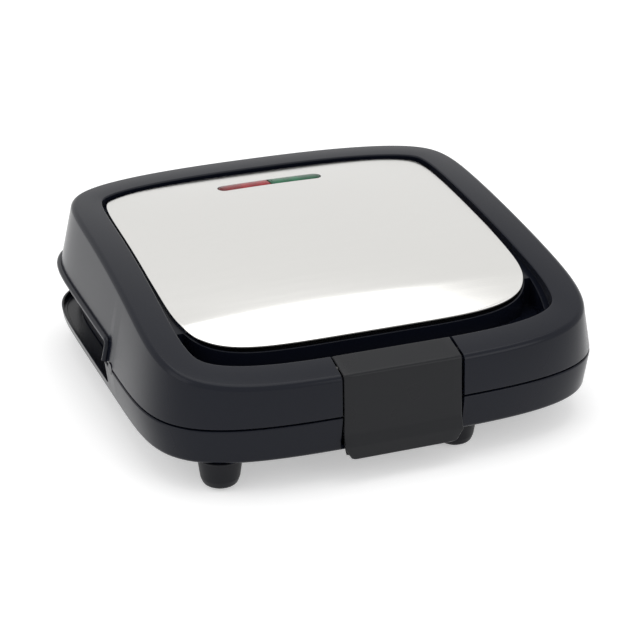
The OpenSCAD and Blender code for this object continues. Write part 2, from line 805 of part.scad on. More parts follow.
// The lip's outside over each recess and down its front end
module recess_lips() {
    z = parting + recess_up;
    intersection() {
        loft([
            ring_at(lid_inset(lid_low, -lip_out), lid_low),
            ring_at(lid_inset(z + 2.6, -lip_out), z + 2.6),
            ring_at(lid_inset(z + 4, -lip_out * 0.5), z + 4),
            ring_at(lid_inset(z + 4.8, 0.2), z + 4.8)
        ]);
        both_sides() {
            box(half_w / 2, body_w, -recess_front - 3.2, recess_rear, z, z + 6);
            box(half_w / 2, body_w, -recess_front - 3.2, -recess_front, lid_low, z + 6);
        }
    }
}

module lid_housing() {
    w = slot_w / 2;
    placed() color(plastic) difference() {
        union() {
            difference() {
                union() {
                    loft(lid_shell());
                    recess_lips();
                }
                difference() {
                    loft([
                        ring_at(lid_inset(lid_low, wall), lid_low - 1),
                        rim_ring(wall + 2, wall + 0.5),
                        rim_ring(wall, wall + rim_edge_r),
                        rim_ring(wall, rim_w - wall),
                        shelf_ring(wall)
                    ]);
                    side_recesses(wall);
                    latch_slot(wall);
                    hinge_pockets(wall);
                    finger_well(wall);
                    both_sides()
                        box(hinge_x - 15, hinge_x + 15, lid_leg_y, rear_reach, lid_leg_z - 4, lid_leg_z + 4);
                }
            }
            // Bosses for the deck, the tray, the lamp holder and the latch bracket
            both_sides() {
                for (p = post_places)
                    boss(p.x, p.y, upper_deck + deck_t, shelf_z(p.y) - 2.3, 4.6, 5.6);
                for (y = [-1, 1])
                    boss(plate_w / 4 + 10, plate_y + y * 40, upper_tray, shelf_z(plate_y + y * 40) - 1.5, 4, 5);
                post(30, window_reach, holder_z + 2.5, shelf_z(window_reach) - 1.5, 3.4);
                post(bracket_w + 4.6, latch_y, latch_z - 5.8, rim_z(latch_y) - 2, 3);
            }
        }
        side_recesses();
        latch_slot();
        hinge_pockets();
        finger_well();
        // Opening for the latch's top, and pockets for its bracket
        box(-w, w, -body_w, latch_y + 9, latch_z - latch_barrel_r - 0.4, body_w);
        both_sides() {
            bar(w - 1, bracket_w + seat, latch_y, latch_z, 3);
            box(w - 1, bracket_w + seat, latch_y - 3, latch_y + 3, latch_z - 9, latch_z);
            post(bracket_w + 4.6, latch_y, latch_z - 6, latch_z - 1, 1.2);
            for (s = [-1, 1]) translate([hinge_x, 0, 0]) mirror([s < 0 ? 1 : 0, 0, 0])
                box(barrel_l / 2, barrel_l / 2 + knuckle_l + 2 * lug_gap, lid_leg_y - seat, hinge_y,
                    parting, hinge_z + barrel_r);
            bar_y(hinge_x, lid_leg_y - 1, lid_leg_y + 5, lid_leg_z, 1.2);
            bar(half_w / 2, half_w + 1, tab_y, base_top, tab_r + 0.6);
            for (p = post_places) post(p.x, p.y, upper_deck, upper_deck + 14, 1.4, $fn = 24);
        }
        // Light slot under the indicator window
        translate([0, window_reach, parting]) linear_extrude(lid_h + 20) stadium(44, 6);
    }
}

module lid_deck() {
    placed() color(coated) deck(lid_inset(upper_deck + deck_t, wall + 0.5), upper_deck, plate_boss_r + seat);
}

// Outline of the cover, moved inward by d
function cover_line(d) =
    let (front = oval(half_w - drafts[1] * lid_h - rim_w - cover_gap - d, bend_reach + slope_reach - d, 1,
                      [cover_n, cover_n], rear_n),
         rear = rim_ring(0, rim_w + cover_gap + d))
    [for (j = [0 : last]) let (p = outline[j].y < -0.01 ? front[j] : rear[j]) [p.x, p.y]];

// Pressed sheet with a turned-down edge, as one closed surface
module pressed_sheet(t, m = 6) {
    outer = cover_line(0);
    inner = cover_line(t);
    n = len(outer);
    q = n / 4;
    rows = 2 * q - 1;
    function edge_row(line, s) = line[(s + n) % n];
    // Grid points: one at each end, rows of m + 1 between
    function grid(line, dz) = [
        let (p = edge_row(line, -q)) [0, p.y, cover_z(0, p.y) - dz],
        for (s = [1 - q : q - 1], c = [0 : m])
            let (p = edge_row(line, s), x = p.x * (1 - 2 * c / m)) [x, p.y, cover_z(x, p.y) - dz],
        let (p = edge_row(line, q)) [0, p.y, cover_z(0, p.y) - dz]
    ];
    size = rows * (m + 1) + 2;
    function id(s, c) = s == -q ? 0 : s == q ? size - 1 : 1 + (s + q - 1) * (m + 1) + c;
    function rim_id(j) = j <= q ? id(j, 0) : j >= 3 * q ? id(j - n, 0) : id(2 * q - j, m);
    top = [
        for (s = [-q : q - 1], c = [0 : m - 1])
            let (a = id(s, c), b = id(s, c + 1), e = id(s + 1, c + 1), f = id(s + 1, c))
            each [if (a != b) [a, b, e], if (e != f) [a, e, f]]
    ];
    under = [for (f = top) [f[2], f[1], f[0]] + [size, size, size]];
    foot = 2 * size;
    skirt = [
        for (j = [0 : n - 1])
            let (k = (j + 1) % n, a = foot + j, b = foot + k, c = rim_id(j), e = rim_id(k),
                 a2 = a + n, b2 = b + n, c2 = c + size, e2 = e + size)
            each [[a, c, e], [a, e, b], [c2, a2, e2], [e2, a2, b2], [b, a2, a], [b, b2, a2]]
    ];
    foot_ring = [for (line = [outer, inner]) each [for (p = line) [p.x, p.y, shelf_z(p.y) + 0.1]]];
    polyhedron(concat(grid(outer, 0), grid(inner, t), foot_ring), concat(top, under, skirt));
}

module steel_cover() {
    placed() color(steel) difference() {
        pressed_sheet(sheet_t);
        translate([0, window_reach, parting]) linear_extrude(lid_h + 20)
            stadium(window_l + 0.6, window_w + 0.6);
    }
}

// Half of the indicator window, with a flange under the steel cover
module lens(side) {
    z0 = shelf_z(window_reach + window_w / 2 + 1.2) + 0.1;
    z1 = cover_z(0, window_reach) + 0.4;
    intersection() {
        translate([0, window_reach, z0]) {
            linear_extrude(1.4) stadium(window_l + 2.4, window_w + 2.4);
            linear_extrude(z1 - z0) stadium(window_l, window_w);
        }
        box(side > 0 ? 0.1 : -window_l, side > 0 ? window_l : -0.1, 0, body_w, parting, 3 * parting);
    }
}

module red_lens() {
    placed() color("crimson") lens(-1);
}

module green_lens() {
    placed() color("seagreen") lens(1);
}

lamp_x = 13;
lamp_r = 2.4;

module lamp_holder() {
    placed() color("white") difference() {
        box(-36, 36, window_reach - 6, window_reach + 6, holder_z, holder_z + 2.5);
        both_sides() post(lamp_x, window_reach, holder_z - 1, holder_z + 4, lamp_r + 0.1);
    }
}

module lamp(x) {
    post(x, window_reach, holder_z, holder_z + 7, lamp_r);
    translate([x, window_reach, holder_z + 7]) sphere(lamp_r);
}

module red_lamp() {
    placed() color("orangered") lamp(-lamp_x);
}

module green_lamp() {
    placed() color("palegreen") lamp(lamp_x);
}

module lid_screws() {
    placed() color(bright) both_sides() {
        for (p = post_places)
            translate([p.x, p.y, upper_deck]) screw(1.3, 10, 3, 1.8);
        translate([hinge_x, lid_leg_y - 3, lid_leg_z]) rotate([-90, 0, 0]) screw(1.1, 6, 2.4, 1.4);
    }
}

// ---- Latch ----

// Cheeks on a floor plate; ears at the ends are screwed up into the lid
module latch_bracket() {
    z = latch_z - 7.6;
    w = slot_w / 2 + seat;
    placed() color(plastic_low) difference() {
        union() {
            box(-bracket_w - 8, bracket_w + 8, latch_y - 3.6, latch_y + 1.8, z, z + 1.8);
            both_sides() {
                bar(w, bracket_w, latch_y, latch_z, 2.7);
                box(w, bracket_w, latch_y - 2.7, latch_y + 2.7, z, latch_z);
            }
        }
        bar(-body_w, body_w, latch_y, latch_z, latch_pin_r + 0.02);
        both_sides() post(bracket_w + 4.6, latch_y, z - 1, z + 3, 1.2);
    }
}

module latch_bracket_screws() {
    placed() color(bright) both_sides()
        translate([bracket_w + 4.6, latch_y, latch_z - 7.6]) screw(1.1, 5.6, 2.4, 1.4);
}

module latch_pin() {
    placed() color(steel) bar(-bracket_w, bracket_w, latch_y, latch_z, latch_pin_r);
}

// Side view of the clip in [y, z]: barrel, top plate, front plate, flared lip and hook
module latch_profile() {
    back = rim_w + 1.4 - front_reach;
    bend_y = -front_reach + 2.1;
    flare = foot_h + 10;
    hook_y = -front_reach + 6.5;
    top_z = latch_z + latch_barrel_r;
    translate([latch_y, latch_z]) circle(latch_barrel_r);
    polygon(rounded([
        [back, rim_z(back) - 0.1, 0.5],
        [bend_y, rim_z(bend_y), 2.4],
        [-front_reach - 0.2, flare, 12],
        [-latch_front, flare - 6.5, 4],
        [-latch_front + 0.2, latch_low, 3],
        [hook_y, latch_low, 0.8],
        [hook_y, latch_low + 2.6, 0.8],
        [-latch_front + latch_t, latch_low + 2.6, 1.2],
        [-latch_front + latch_t, flare - 6, 3],
        [-front_reach - 0.2 + latch_t, flare + 0.5, 8],
        [bend_y + latch_t, rim_z(bend_y) - latch_t, 1.5],
        [latch_y, top_z - latch_t, 0],
        [back, rim_z(back) - 2.4, 0.5]
    ]));
}

module latch() {
    r = 7;
    placed() color(clip) difference() {
        intersection() {
            across(-latch_w / 2, latch_w / 2) latch_profile();
            // Round lower corners, seen from the front
            translate([0, 0, latch_low]) rotate([90, 0, 0]) linear_extrude(2 * front_reach)
                polygon(rounded([[-latch_w / 2, 0, r], [latch_w / 2, 0, r], [latch_w / 2, 80, 0],
                                 [-latch_w / 2, 80, 0]]));
        }
        bar(-latch_w, latch_w, latch_y, latch_z, latch_pin_r + run);
    }
}

base_housing();
base_deck();
lower_plate();
lower_element();
lower_reflector();
lower_plate_screws();
lower_element_clamps();
thermal_fuse();
terminal_block();
cord_inlet();
base_wiring();
feet();
foot_pads();
base_screws();
base_hinge_lugs();
hinge_pins();
lid_housing();
lid_deck();
steel_cover();
red_lens();
green_lens();
lamp_holder();
red_lamp();
green_lamp();
upper_plate();
upper_element();
upper_reflector();
upper_plate_screws();
upper_element_clamps();
thermostat();
lid_hinge_lugs();
lid_screws();
lid_wiring();
latch_bracket();
latch_bracket_screws();
latch_pin();
latch();
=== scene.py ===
"""Looks of a two-waffle maker: housings, steel lid cover, indicator, latch clip, feet and plates.

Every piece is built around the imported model, in metres, and rides on one of its bodies.
"""

import math

import bmesh
import bpy
import numpy as np
from mathutils import Matrix, Vector


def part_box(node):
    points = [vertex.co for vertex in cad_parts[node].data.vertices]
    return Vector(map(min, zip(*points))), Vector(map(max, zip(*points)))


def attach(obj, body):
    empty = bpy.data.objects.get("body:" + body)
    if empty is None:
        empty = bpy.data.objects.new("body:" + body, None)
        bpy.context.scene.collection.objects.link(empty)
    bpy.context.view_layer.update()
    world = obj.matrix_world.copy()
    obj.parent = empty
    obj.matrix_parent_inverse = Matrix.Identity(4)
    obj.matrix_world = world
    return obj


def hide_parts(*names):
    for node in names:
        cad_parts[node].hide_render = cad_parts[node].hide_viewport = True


bl_info = {
    "name": "Waffle Maker",
    "version": (1, 0, 0),
    "blender": (4, 5, 0),
    "location": "3D View > Sidebar > Waffle Maker",
    "description": "Builds the visible pieces of a two-waffle maker around its packed model",
    "category": "Object",
}

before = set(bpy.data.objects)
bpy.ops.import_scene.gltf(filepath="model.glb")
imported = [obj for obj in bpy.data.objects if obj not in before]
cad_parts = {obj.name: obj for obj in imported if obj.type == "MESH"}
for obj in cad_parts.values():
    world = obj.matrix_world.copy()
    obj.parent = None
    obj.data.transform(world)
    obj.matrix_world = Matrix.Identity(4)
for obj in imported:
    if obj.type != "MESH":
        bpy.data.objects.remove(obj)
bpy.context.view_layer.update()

MM = 0.001
STEPS = 36  # outline steps from a side's middle to a corner's middle


def middle(node):
    """Middle of a node's box, in millimetres."""
    low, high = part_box(node)
    return [(a + b) / 2 / MM for a, b in zip(low, high)]


def low_of(node, axis):
    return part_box(node)[0][axis] / MM


def high_of(node, axis):
    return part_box(node)[1][axis] / MM


# ---- Sizes and colours that a user would change ----


def length(name, description, default):
    """A size in millimetres, shown as a plain number."""
    return bpy.props.FloatProperty(
        name=name, description=description, default=default, min=0.1, max=400.0, precision=2
    )


def from_hex(text):
    """An sRGB hex colour as linear red, green and blue."""
    parts = [int(text[i : i + 2], 16) / 255 for i in (1, 3, 5)]
    return tuple(c / 12.92 if c <= 0.04045 else ((c + 0.055) / 1.055) ** 2.4 for c in parts)


def colour(name, description, text):
    """A colour written as sRGB hex and kept as linear."""
    return bpy.props.FloatVectorProperty(
        name=name, description=description, default=from_hex(text), subtype="COLOR", size=3, min=0.0, max=1.0
    )


class WaffleMakerSizes(bpy.types.PropertyGroup):
    """Sizes of the visible forms, in millimetres."""

    body_w: length("Body width", "Width of both housings at the parting line", 250.0)
    front_reach: length("Front reach", "From the widest line forward to the front wall", 112.0)
    rear_reach: length("Rear reach", "From the widest line back to the rear wall", 136.0)
    foot_h: length("Foot height", "Height of the feet", 17.0)
    base_h: length("Base height", "Height of the base without its feet", 20.0)
    lid_h: length("Lid height", "Height of the rim above the parting line, at the widest line", 41.0)
    wall: length("Wall", "Thickness of the moulded walls", 2.6)
    parting_gap: length("Parting gap", "Groove between base and lid", 0.8)
    rim_w: length("Rim width", "Width of the flat rim around the steel cover", 17.0)
    rim_edge_r: length("Rim edge", "Radius of the rim's outer edge", 2.6)
    rim_inner_r: length("Inner rim edge", "Radius of the rim's inner edge", 0.9)
    well_up: length("Well floor", "Height of the finger well's floor above the parting line", 13.0)
    recess_front: length("Recess front", "Front end of the side recesses, forward of the widest line", 9.0)
    recess_rear: length("Recess rear", "Rear end of the side recesses, behind the widest line", 119.0)
    recess_up: length("Recess height", "Height of the recess in the lid", 10.0)
    recess_down: length("Recess depth", "Depth of the recess in the base", 14.0)
    recess_in: length("Recess reach", "How far the recesses reach in from the side", 13.0)
    cover_gap: length("Cover gap", "Gap between the steel cover and the rim", 1.8)
    sheet_t: length("Sheet", "Thickness of the steel sheet", 0.8)
    bend_reach: length("Bend reach", "From the widest line forward to the cover's bend", 48.0)
    slope_reach: length("Slope reach", "From the bend forward to the cover's front edge", 23.0)
    slope_drop: length("Slope drop", "Drop of the cover's front edge below the rim", 6.0)
    cover_crown: length("Crown", "Height of the cover's crown over its edge", 5.2)
    window_l: length("Window length", "Length of the indicator window", 61.0)
    window_w: length("Window width", "Width of the indicator window", 8.0)
    window_reach: length("Window place", "Place of the window behind the widest line", 83.0)
    latch_w: length("Latch width", "Width of the latch clip", 64.0)
    latch_t: length("Latch thickness", "Thickness of the latch clip", 3.0)


class WaffleMakerColours(bpy.types.PropertyGroup):
    """Base colours of the finishes."""

    housing: colour("Housing", "Satin moulded plastic of base and lid", "#10131d")
    inner: colour("Inner plastic", "Matt moulded plastic of hidden and low parts", "#111217")
    clip: colour("Clip", "Satin moulded plastic of the latch clip", "#191a1d")
    steel: colour("Steel", "Brushed stainless steel of the lid cover", "#dcdbd8")
    red: colour("Red lens", "Moulded clear plastic, red", "#98141f")
    green: colour("Green lens", "Moulded clear plastic, green", "#02633f")
    rubber: colour("Rubber", "Foot pads", "#19191a")
    coating: colour("Non-stick coating", "Coating of the plates", "#242323")


# ---- Outline of the housings ----

FRONT_N = (3.7, 5.8)  # squareness of the front corners, across and along
REAR_N = (2.4, 8.0)
COVER_N = (5.2, 5.2)
LID_DRAFTS = (0.06, 0.21)  # lean of the lid's front wall, and of its other walls
RIM_SLOPE = 0.112
RIM_CURVE = 0.00057
BASE_LEAN = 2.2
BASE_EDGE_R = 2.6
BEVEL = 0.7
COVER_EDGE = 2.3  # the cover's edge lies this far below the rim
COVER_SKIRT = 2.7


def quarter(a, b, n):
    """One quarter of a squarish oval, from the side (a, 0) to the end (0, b), both ends in."""
    xc, yc = a * 0.5 ** (1 / n[0]), b * 0.5 ** (1 / n[1])
    u = np.linspace(0, 1, STEPS + 1)
    y = yc * np.sin(np.pi / 2 * u)
    side = np.stack([a * (1 - (y / b) ** n[1]) ** (1 / n[0]), y], 1)
    x = xc * np.cos(np.pi / 2 * u[1:])
    end = np.stack([x, b * (1 - (x / a) ** n[0]) ** (1 / n[1])], 1)
    return np.concatenate([side, end])


def oval(a, front, rear, front_n, rear_n):
    """A closed outline with its own front and rear halves, from +X counter-clockwise."""
    back, fore = quarter(a, rear, rear_n), quarter(a, front, front_n)
    return np.concatenate(
        [back[:-1], (back * (-1, 1))[:0:-1], (fore * (-1, -1))[:-1], (fore * (1, -1))[:0:-1]]
    )


class Form:
    """The housings' shapes, worked out once from the sizes; y is measured from the widest line."""

    def __init__(self, s):
        self.s = s
        self.half_w = s.body_w / 2
        self.parting = s.foot_h + s.base_h
        self.base_top = self.parting - s.parting_gap / 2
        self.lid_low = self.parting + s.parting_gap / 2
        self.latch_y = -(s.front_reach - 13)
        self.latch_z = self.rim_z(self.latch_y) - 4.1
        self.mid_y = middle("latch_pin")[1] - self.latch_y
        self.hinge_y = s.rear_reach + 0.6
        self.hinge_z = self.parting + 0.2
        self.slot_w = s.latch_w + 2
        self.cover_half = self.half_w - LID_DRAFTS[1] * s.lid_h - s.rim_w - s.cover_gap
        self.line = oval(self.half_w, s.front_reach, s.rear_reach, FRONT_N, REAR_N)
        self.normals = self.side_normals(self.line)
        self.leans = self.lean_at(self.normals)

    def rim_z(self, y):
        return self.parting + self.s.lid_h + RIM_SLOPE * y - RIM_CURVE * y * y

    def side_normals(self, p):
        front = p[:, 1] < 0
        reach = np.where(front, self.s.front_reach, self.s.rear_reach)
        nx = np.where(front, FRONT_N[0], REAR_N[0])
        ny = np.where(front, FRONT_N[1], REAR_N[1])
        g = np.stack(
            [
                nx / self.half_w * (np.abs(p[:, 0]) / self.half_w) ** (nx - 1) * np.sign(p[:, 0]),
                ny / reach * (np.abs(p[:, 1]) / reach) ** (ny - 1) * np.sign(p[:, 1]),
            ],
            1,
        )
        return g / np.linalg.norm(g, axis=1)[:, None]

    def lean_at(self, n):
        low, high = LID_DRAFTS
        return np.where(n[:, 1] < 0, low * n[:, 1] ** 2 + high * n[:, 0] ** 2, high)

    def inset(self, d, z):
        p = self.line - self.normals * d
        return np.column_stack([p, np.full(len(p), float(z))])

    def lid_inset(self, level, d, z=None):
        p = self.line - self.normals * (self.leans * (level - self.parting) + d)[:, None]
        return np.column_stack([p, np.full(len(p), float(level if z is None else z))])

    def rim_ring(self, down, d):
        z = self.rim_z(self.line[:, 1]) - down
        p = self.line - self.normals * (self.leans * (z - self.parting) + d)[:, None]
        return np.column_stack([p, self.rim_z(p[:, 1]) - down])

    def cover_z(self, x, y):
        s = self.s
        rear = s.rear_reach - LID_DRAFTS[1] * s.lid_h - s.rim_w - s.cover_gap
        b = np.where(y < 0, s.bend_reach + s.slope_reach, rear)
        t = np.clip((-y - s.bend_reach) / s.slope_reach, 0, 1.3)
        crown = np.maximum(0, 1 - (x / self.cover_half) ** 2) * np.maximum(0, 1 - (y / b) ** 4)
        return self.rim_z(y) - COVER_EDGE - (s.slope_drop - COVER_EDGE) * t**1.4 + s.cover_crown * crown

    def shelf_z(self, y):
        return self.cover_z(self.half_w, y) - COVER_SKIRT

    def shelf_ring(self, grow=0.0):
        ring = self.rim_ring(COVER_EDGE + COVER_SKIRT + grow, self.s.rim_w - grow)
        ring[:, 2] = self.shelf_z(ring[:, 1]) - grow
        return ring

    def cover_line(self, d):
        s = self.s
        fore = oval(self.cover_half - d, s.bend_reach + s.slope_reach - d, 1.0, COVER_N, REAR_N)
        rear = self.rim_ring(0, s.rim_w + s.cover_gap + d)[:, :2]
        return np.where(self.line[:, 1:2] < -0.01, fore, rear)

    def wall_point(self, side, y, z, out):
        """A point on the lid's wall at height z, moved out from it."""
        s = self.s
        reach, n = (s.front_reach, FRONT_N) if y < 0 else (s.rear_reach, REAR_N)
        p = np.array([[side * self.half_w * (1 - (abs(y) / reach) ** n[1]) ** (1 / n[0]), y]])
        normal = self.side_normals(p)
        lean = self.lean_at(normal)[0]
        q = p[0] - normal[0] * (lean * (z - self.parting) - out)
        return np.array([q[0], q[1], z])


def sizes():
    return bpy.context.scene.waffle_sizes


def colours():
    return bpy.context.scene.waffle_colours


# ---- Mesh tools ----


def new_object(name, vertices, faces, form):
    """Object from vertices in millimetres, measured from the widest line."""
    mesh = bpy.data.meshes.new(name)
    points = np.asarray(vertices, float) * MM
    points[:, 1] += form.mid_y * MM
    mesh.from_pydata(points.tolist(), [], [list(f) for f in faces])
    mesh.validate()
    mesh.update()
    obj = bpy.data.objects.new(name, mesh)
    bpy.context.scene.collection.objects.link(obj)
    return obj


def ring_walls(count, n):
    """Quads between rings of n points."""
    faces = []
    for a in range(0, (count - 1) * n, n):
        faces += [(a + j, a + (j + 1) % n, a + n + (j + 1) % n, a + n + j) for j in range(n)]
    return faces


def closed(count, n):
    """Quads between rings of n points, and one flat face on the first ring and on the last."""
    last = (count - 1) * n
    return ring_walls(count, n) + [tuple(range(n))[::-1], tuple(range(last, last + n))]


def cap_strips(n, start, up):
    """Strips across X that close a ring, so that its height may change from front to rear."""
    q = n // 4
    faces = []
    for s in range(-q, q):
        j, k = s % n, (s + 1) % n
        mj, mk = (2 * q - j) % n, (2 * q - k) % n
        loop = [j, k] + ([mk] if mk != k else []) + ([mj] if mj != j else [])
        loop = [start + v for v in loop]
        faces.append(loop if up else loop[::-1])
    return faces


def loft(name, rings, form):
    """Closed solid through rings of the housings' outline."""
    n = len(rings[0])
    faces = ring_walls(len(rings), n)
    faces += cap_strips(n, 0, False) + cap_strips(n, (len(rings) - 1) * n, True)
    return new_object(name, np.concatenate(rings), faces, form)


def prism(name, outline, rings, form):
    """Closed solid from flat outlines: rings are (points, height) pairs with flat ends."""
    n = len(outline)
    points = np.concatenate([np.column_stack([r, np.full(n, float(z))]) for r, z in rings])
    return new_object(name, points, closed(len(rings), n), form)


def block(name, x0, x1, y0, y1, z0, z1, form):
    outline = np.array([[x0, y0], [x1, y0], [x1, y1], [x0, y1]], float)
    return prism(name, outline, [(outline, z0), (outline, z1)], form)


def across(name, section, x0, x1, form):
    """Closed solid whose section in (y, z), counter-clockwise, runs along X."""
    n = len(section)
    section = np.asarray(section, float)
    points = np.concatenate([np.column_stack([np.full(n, float(x)), section]) for x in (x0, x1)])
    return new_object(name, points, closed(2, n), form)


def circle(cx, cy, r, count=40, start=0.0, turn=360.0):
    a = np.radians(np.linspace(start, start + turn, count, endpoint=turn < 360))
    return np.column_stack([cx + r * np.cos(a), cy + r * np.sin(a)])


def bar(name, x0, x1, y, z, r, form):
    return across(name, circle(y, z, r), x0, x1, form)


def corner_arc(a, b, c, r, count):
    """Points of the arc that rounds the corner b of a-b-c."""
    a, b, c = (np.array(p[:2], float) for p in (a, b, c))
    u, v = (a - b) / np.linalg.norm(a - b), (c - b) / np.linalg.norm(c - b)
    half = math.acos(np.clip(u @ v, -1, 1)) / 2
    m = b + (u + v) / np.linalg.norm(u + v) * r / math.sin(half)
    p, q = b + u * r / math.tan(half) - m, b + v * r / math.tan(half) - m
    start = math.atan2(p[1], p[0])
    turn = math.atan2(p[0] * q[1] - p[1] * q[0], p @ q)
    angles = start + turn * np.linspace(0, 1, count + 1)
    return m + r * np.column_stack([np.cos(angles), np.sin(angles)])


def rounded(corners, count=10):
    """Outline through (x, y, radius) corners."""
    out = []
    for i, p in enumerate(corners):
        if p[2] > 0:
            out.append(corner_arc(corners[i - 1], p, corners[(i + 1) % len(corners)], p[2], count))
        else:
            out.append(np.array([p[:2]], float))
    return np.concatenate(out)


def offset(outline, d):
    """A smooth counter-clockwise outline moved inward by d."""
    p = np.asarray(outline, float)
    before, after = p - np.roll(p, 1, 0), np.roll(p, -1, 0) - p
    n1 = np.column_stack([-before[:, 1], before[:, 0]]) / np.linalg.norm(before, axis=1)[:, None]
    n2 = np.column_stack([-after[:, 1], after[:, 0]]) / np.linalg.norm(after, axis=1)[:, None]
    n = n1 + n2
    n /= np.maximum(np.linalg.norm(n, axis=1), 1e-9)[:, None]
    return p + n * (d / np.maximum((n * n1).sum(1), 0.4))[:, None]


def carve(target, tools, operation="DIFFERENCE"):
    """Cut the tools out of the target, or join them to it, and drop them."""
    for tool in tools:
        mod = target.modifiers.new("carve", "BOOLEAN")
        mod.operation, mod.solver, mod.object = operation, "MANIFOLD", tool
        dg = bpy.context.evaluated_depsgraph_get()
        made = bpy.data.meshes.new_from_object(target.evaluated_get(dg), depsgraph=dg)
        if len(made.polygons) == 0:
            raise RuntimeError(f"cutting {target.name} with {tool.name} left nothing")
        target.modifiers.remove(mod)
        old, target.data = target.data, made
        bpy.data.meshes.remove(old)
        bpy.data.objects.remove(tool)
    target.data.name = target.name
    return target


def mirrored(make):
    """The object that make(side) gives, on both sides."""
    return [make(side) for side in (-1, 1)]


def span(side, x0, x1):
    """Bounds along X on one side, in rising order."""
    return (x0, x1) if side > 0 else (-x1, -x0)


def smooth(obj, degrees=32.0):
    """Smooth shading that keeps edges sharper than the angle."""
    obj.data.polygons.foreach_set("use_smooth", [True] * len(obj.data.polygons))
    obj.data.set_sharp_from_angle(angle=math.radians(degrees))
    return obj


def seat(obj, body, material, slot, *nodes):
    """Give a finished piece its body and material, and hide the nodes it stands for; slot is not used."""
    obj.data.materials.clear()
    obj.data.materials.append(material)
    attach(obj, body)
    if nodes:
        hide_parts(*nodes)
    return obj


def swept(name, path, section, form, taper=None):
    """Tube through path points; section gives (out, up) points round each of them."""
    path = [np.asarray(p, float) for p in path]
    n = len(section)
    rings = []
    for i, p in enumerate(path):
        t = path[min(i + 1, len(path) - 1)] - path[max(i - 1, 0)]
        t /= np.linalg.norm(t)
        out = np.array([math.copysign(1.0, p[0]), 0.0, 0.0])
        out -= t * (out @ t)
        out /= np.linalg.norm(out)
        up = np.cross(t, out) * math.copysign(1.0, p[0])
        k = 1.0 if taper is None else taper[i]
        rings += [p + k * (out * a + up * b) for a, b in section]
    return new_object(name, rings, closed(len(path), n), form)


def outward(obj):
    """Turn a closed mesh's faces outward."""
    bm = bmesh.new()
    bm.from_mesh(obj.data)
    bmesh.ops.recalc_face_normals(bm, faces=bm.faces)
    bm.to_mesh(obj.data)
    bm.free()
    return obj


# ---- Materials ----


def add(tree, kind, settings=None, **links):
    """A node with its settings, and links to its inputs: a value, or a (node, output) pair."""
    node = tree.nodes.new(kind)
    for name, value in (settings or {}).items():
        setattr(node, name, value)
    for name, value in links.items():
        key = int(name[1:]) if name[1:].isdigit() and name[0] == "i" else name.replace("_", " ")
        if isinstance(value, tuple) and isinstance(value[0], bpy.types.Node):
            tree.links.new(value[0].outputs[value[1]], node.inputs[key])
        else:
            node.inputs[key].default_value = value
    return node


def blank(name):
    """A material with an empty node tree and its output."""
    material = bpy.data.materials.new(name)
    material.use_nodes = True
    tree = material.node_tree
    tree.nodes.clear()
    return material, tree, tree.nodes.new("ShaderNodeOutputMaterial")


def background_rays(tree):
    """1 for rays that show the background: the camera's, and those off metal, gloss and glass."""
    path = add(tree, "ShaderNodeLightPath")
    either = {"operation": "MAXIMUM"}
    bounced = add(
        tree, "ShaderNodeMath", either, i0=(path, "Is Glossy Ray"), i1=(path, "Is Transmission Ray")
    )
    return add(tree, "ShaderNodeMath", either, i0=(path, "Is Camera Ray"), i1=(bounced, "Value"))


def per_mm(size_mm):
    """Texture scale at which one feature measures size_mm; object coordinates are in metres."""
    return 1.0 / (size_mm * MM)


def rgba(rgb, k=1.0):
    return (rgb[0] * k, rgb[1] * k, rgb[2] * k, 1.0)


WHITE = rgba((1.0, 1.0, 1.0))
MIX_COLOURS = {"data_type": "RGBA"}  # inputs 0, 6 and 7 are then the factor and the two colours
MOST_NOISE = {"i1": 0.3, "i2": 0.7}  # a noise texture's values lie mostly between these


def moulded_plastic(name, rgb, rough, grain_mm, grain, specular, edge=0.5):
    """ABS from a polished mould: a fine even grain, slight changes of gloss and soft edges."""
    material, tree, out = blank(name)
    at = add(tree, "ShaderNodeTexCoord")
    cloud = add(
        tree, "ShaderNodeTexNoise", Vector=(at, "Object"), Scale=per_mm(60), Detail=3.0, Roughness=0.55
    )
    fine = add(
        tree, "ShaderNodeTexNoise", Vector=(at, "Object"), Scale=per_mm(grain_mm), Detail=2.0, Roughness=0.6
    )
    shade = add(
        tree, "ShaderNodeMix", MIX_COLOURS, i0=(cloud, "Fac"), i6=rgba(rgb, 0.9), i7=rgba(rgb, 1.12)
    )
    gloss = add(
        tree, "ShaderNodeMapRange", i0=(cloud, "Fac"), **MOST_NOISE, i3=rough - 0.02, i4=rough + 0.03
    )
    # Rounds the shading of edges that the mesh leaves sharp
    soft = add(tree, "ShaderNodeBevel", {"samples": 6}, Radius=edge * MM)
    bump = add(
        tree,
        "ShaderNodeBump",
        Strength=grain,
        Distance=0.05 * MM,
        Height=(fine, "Fac"),
        Normal=(soft, "Normal"),
    )
    shader = add(
        tree,
        "ShaderNodeBsdfPrincipled",
        Base_Color=(shade, 2),
        Roughness=(gloss, "Result"),
        Normal=(bump, "Normal"),
        IOR=1.5,
        Specular_IOR_Level=specular,
    )
    tree.links.new(shader.outputs["BSDF"], out.inputs["Surface"])
    return material


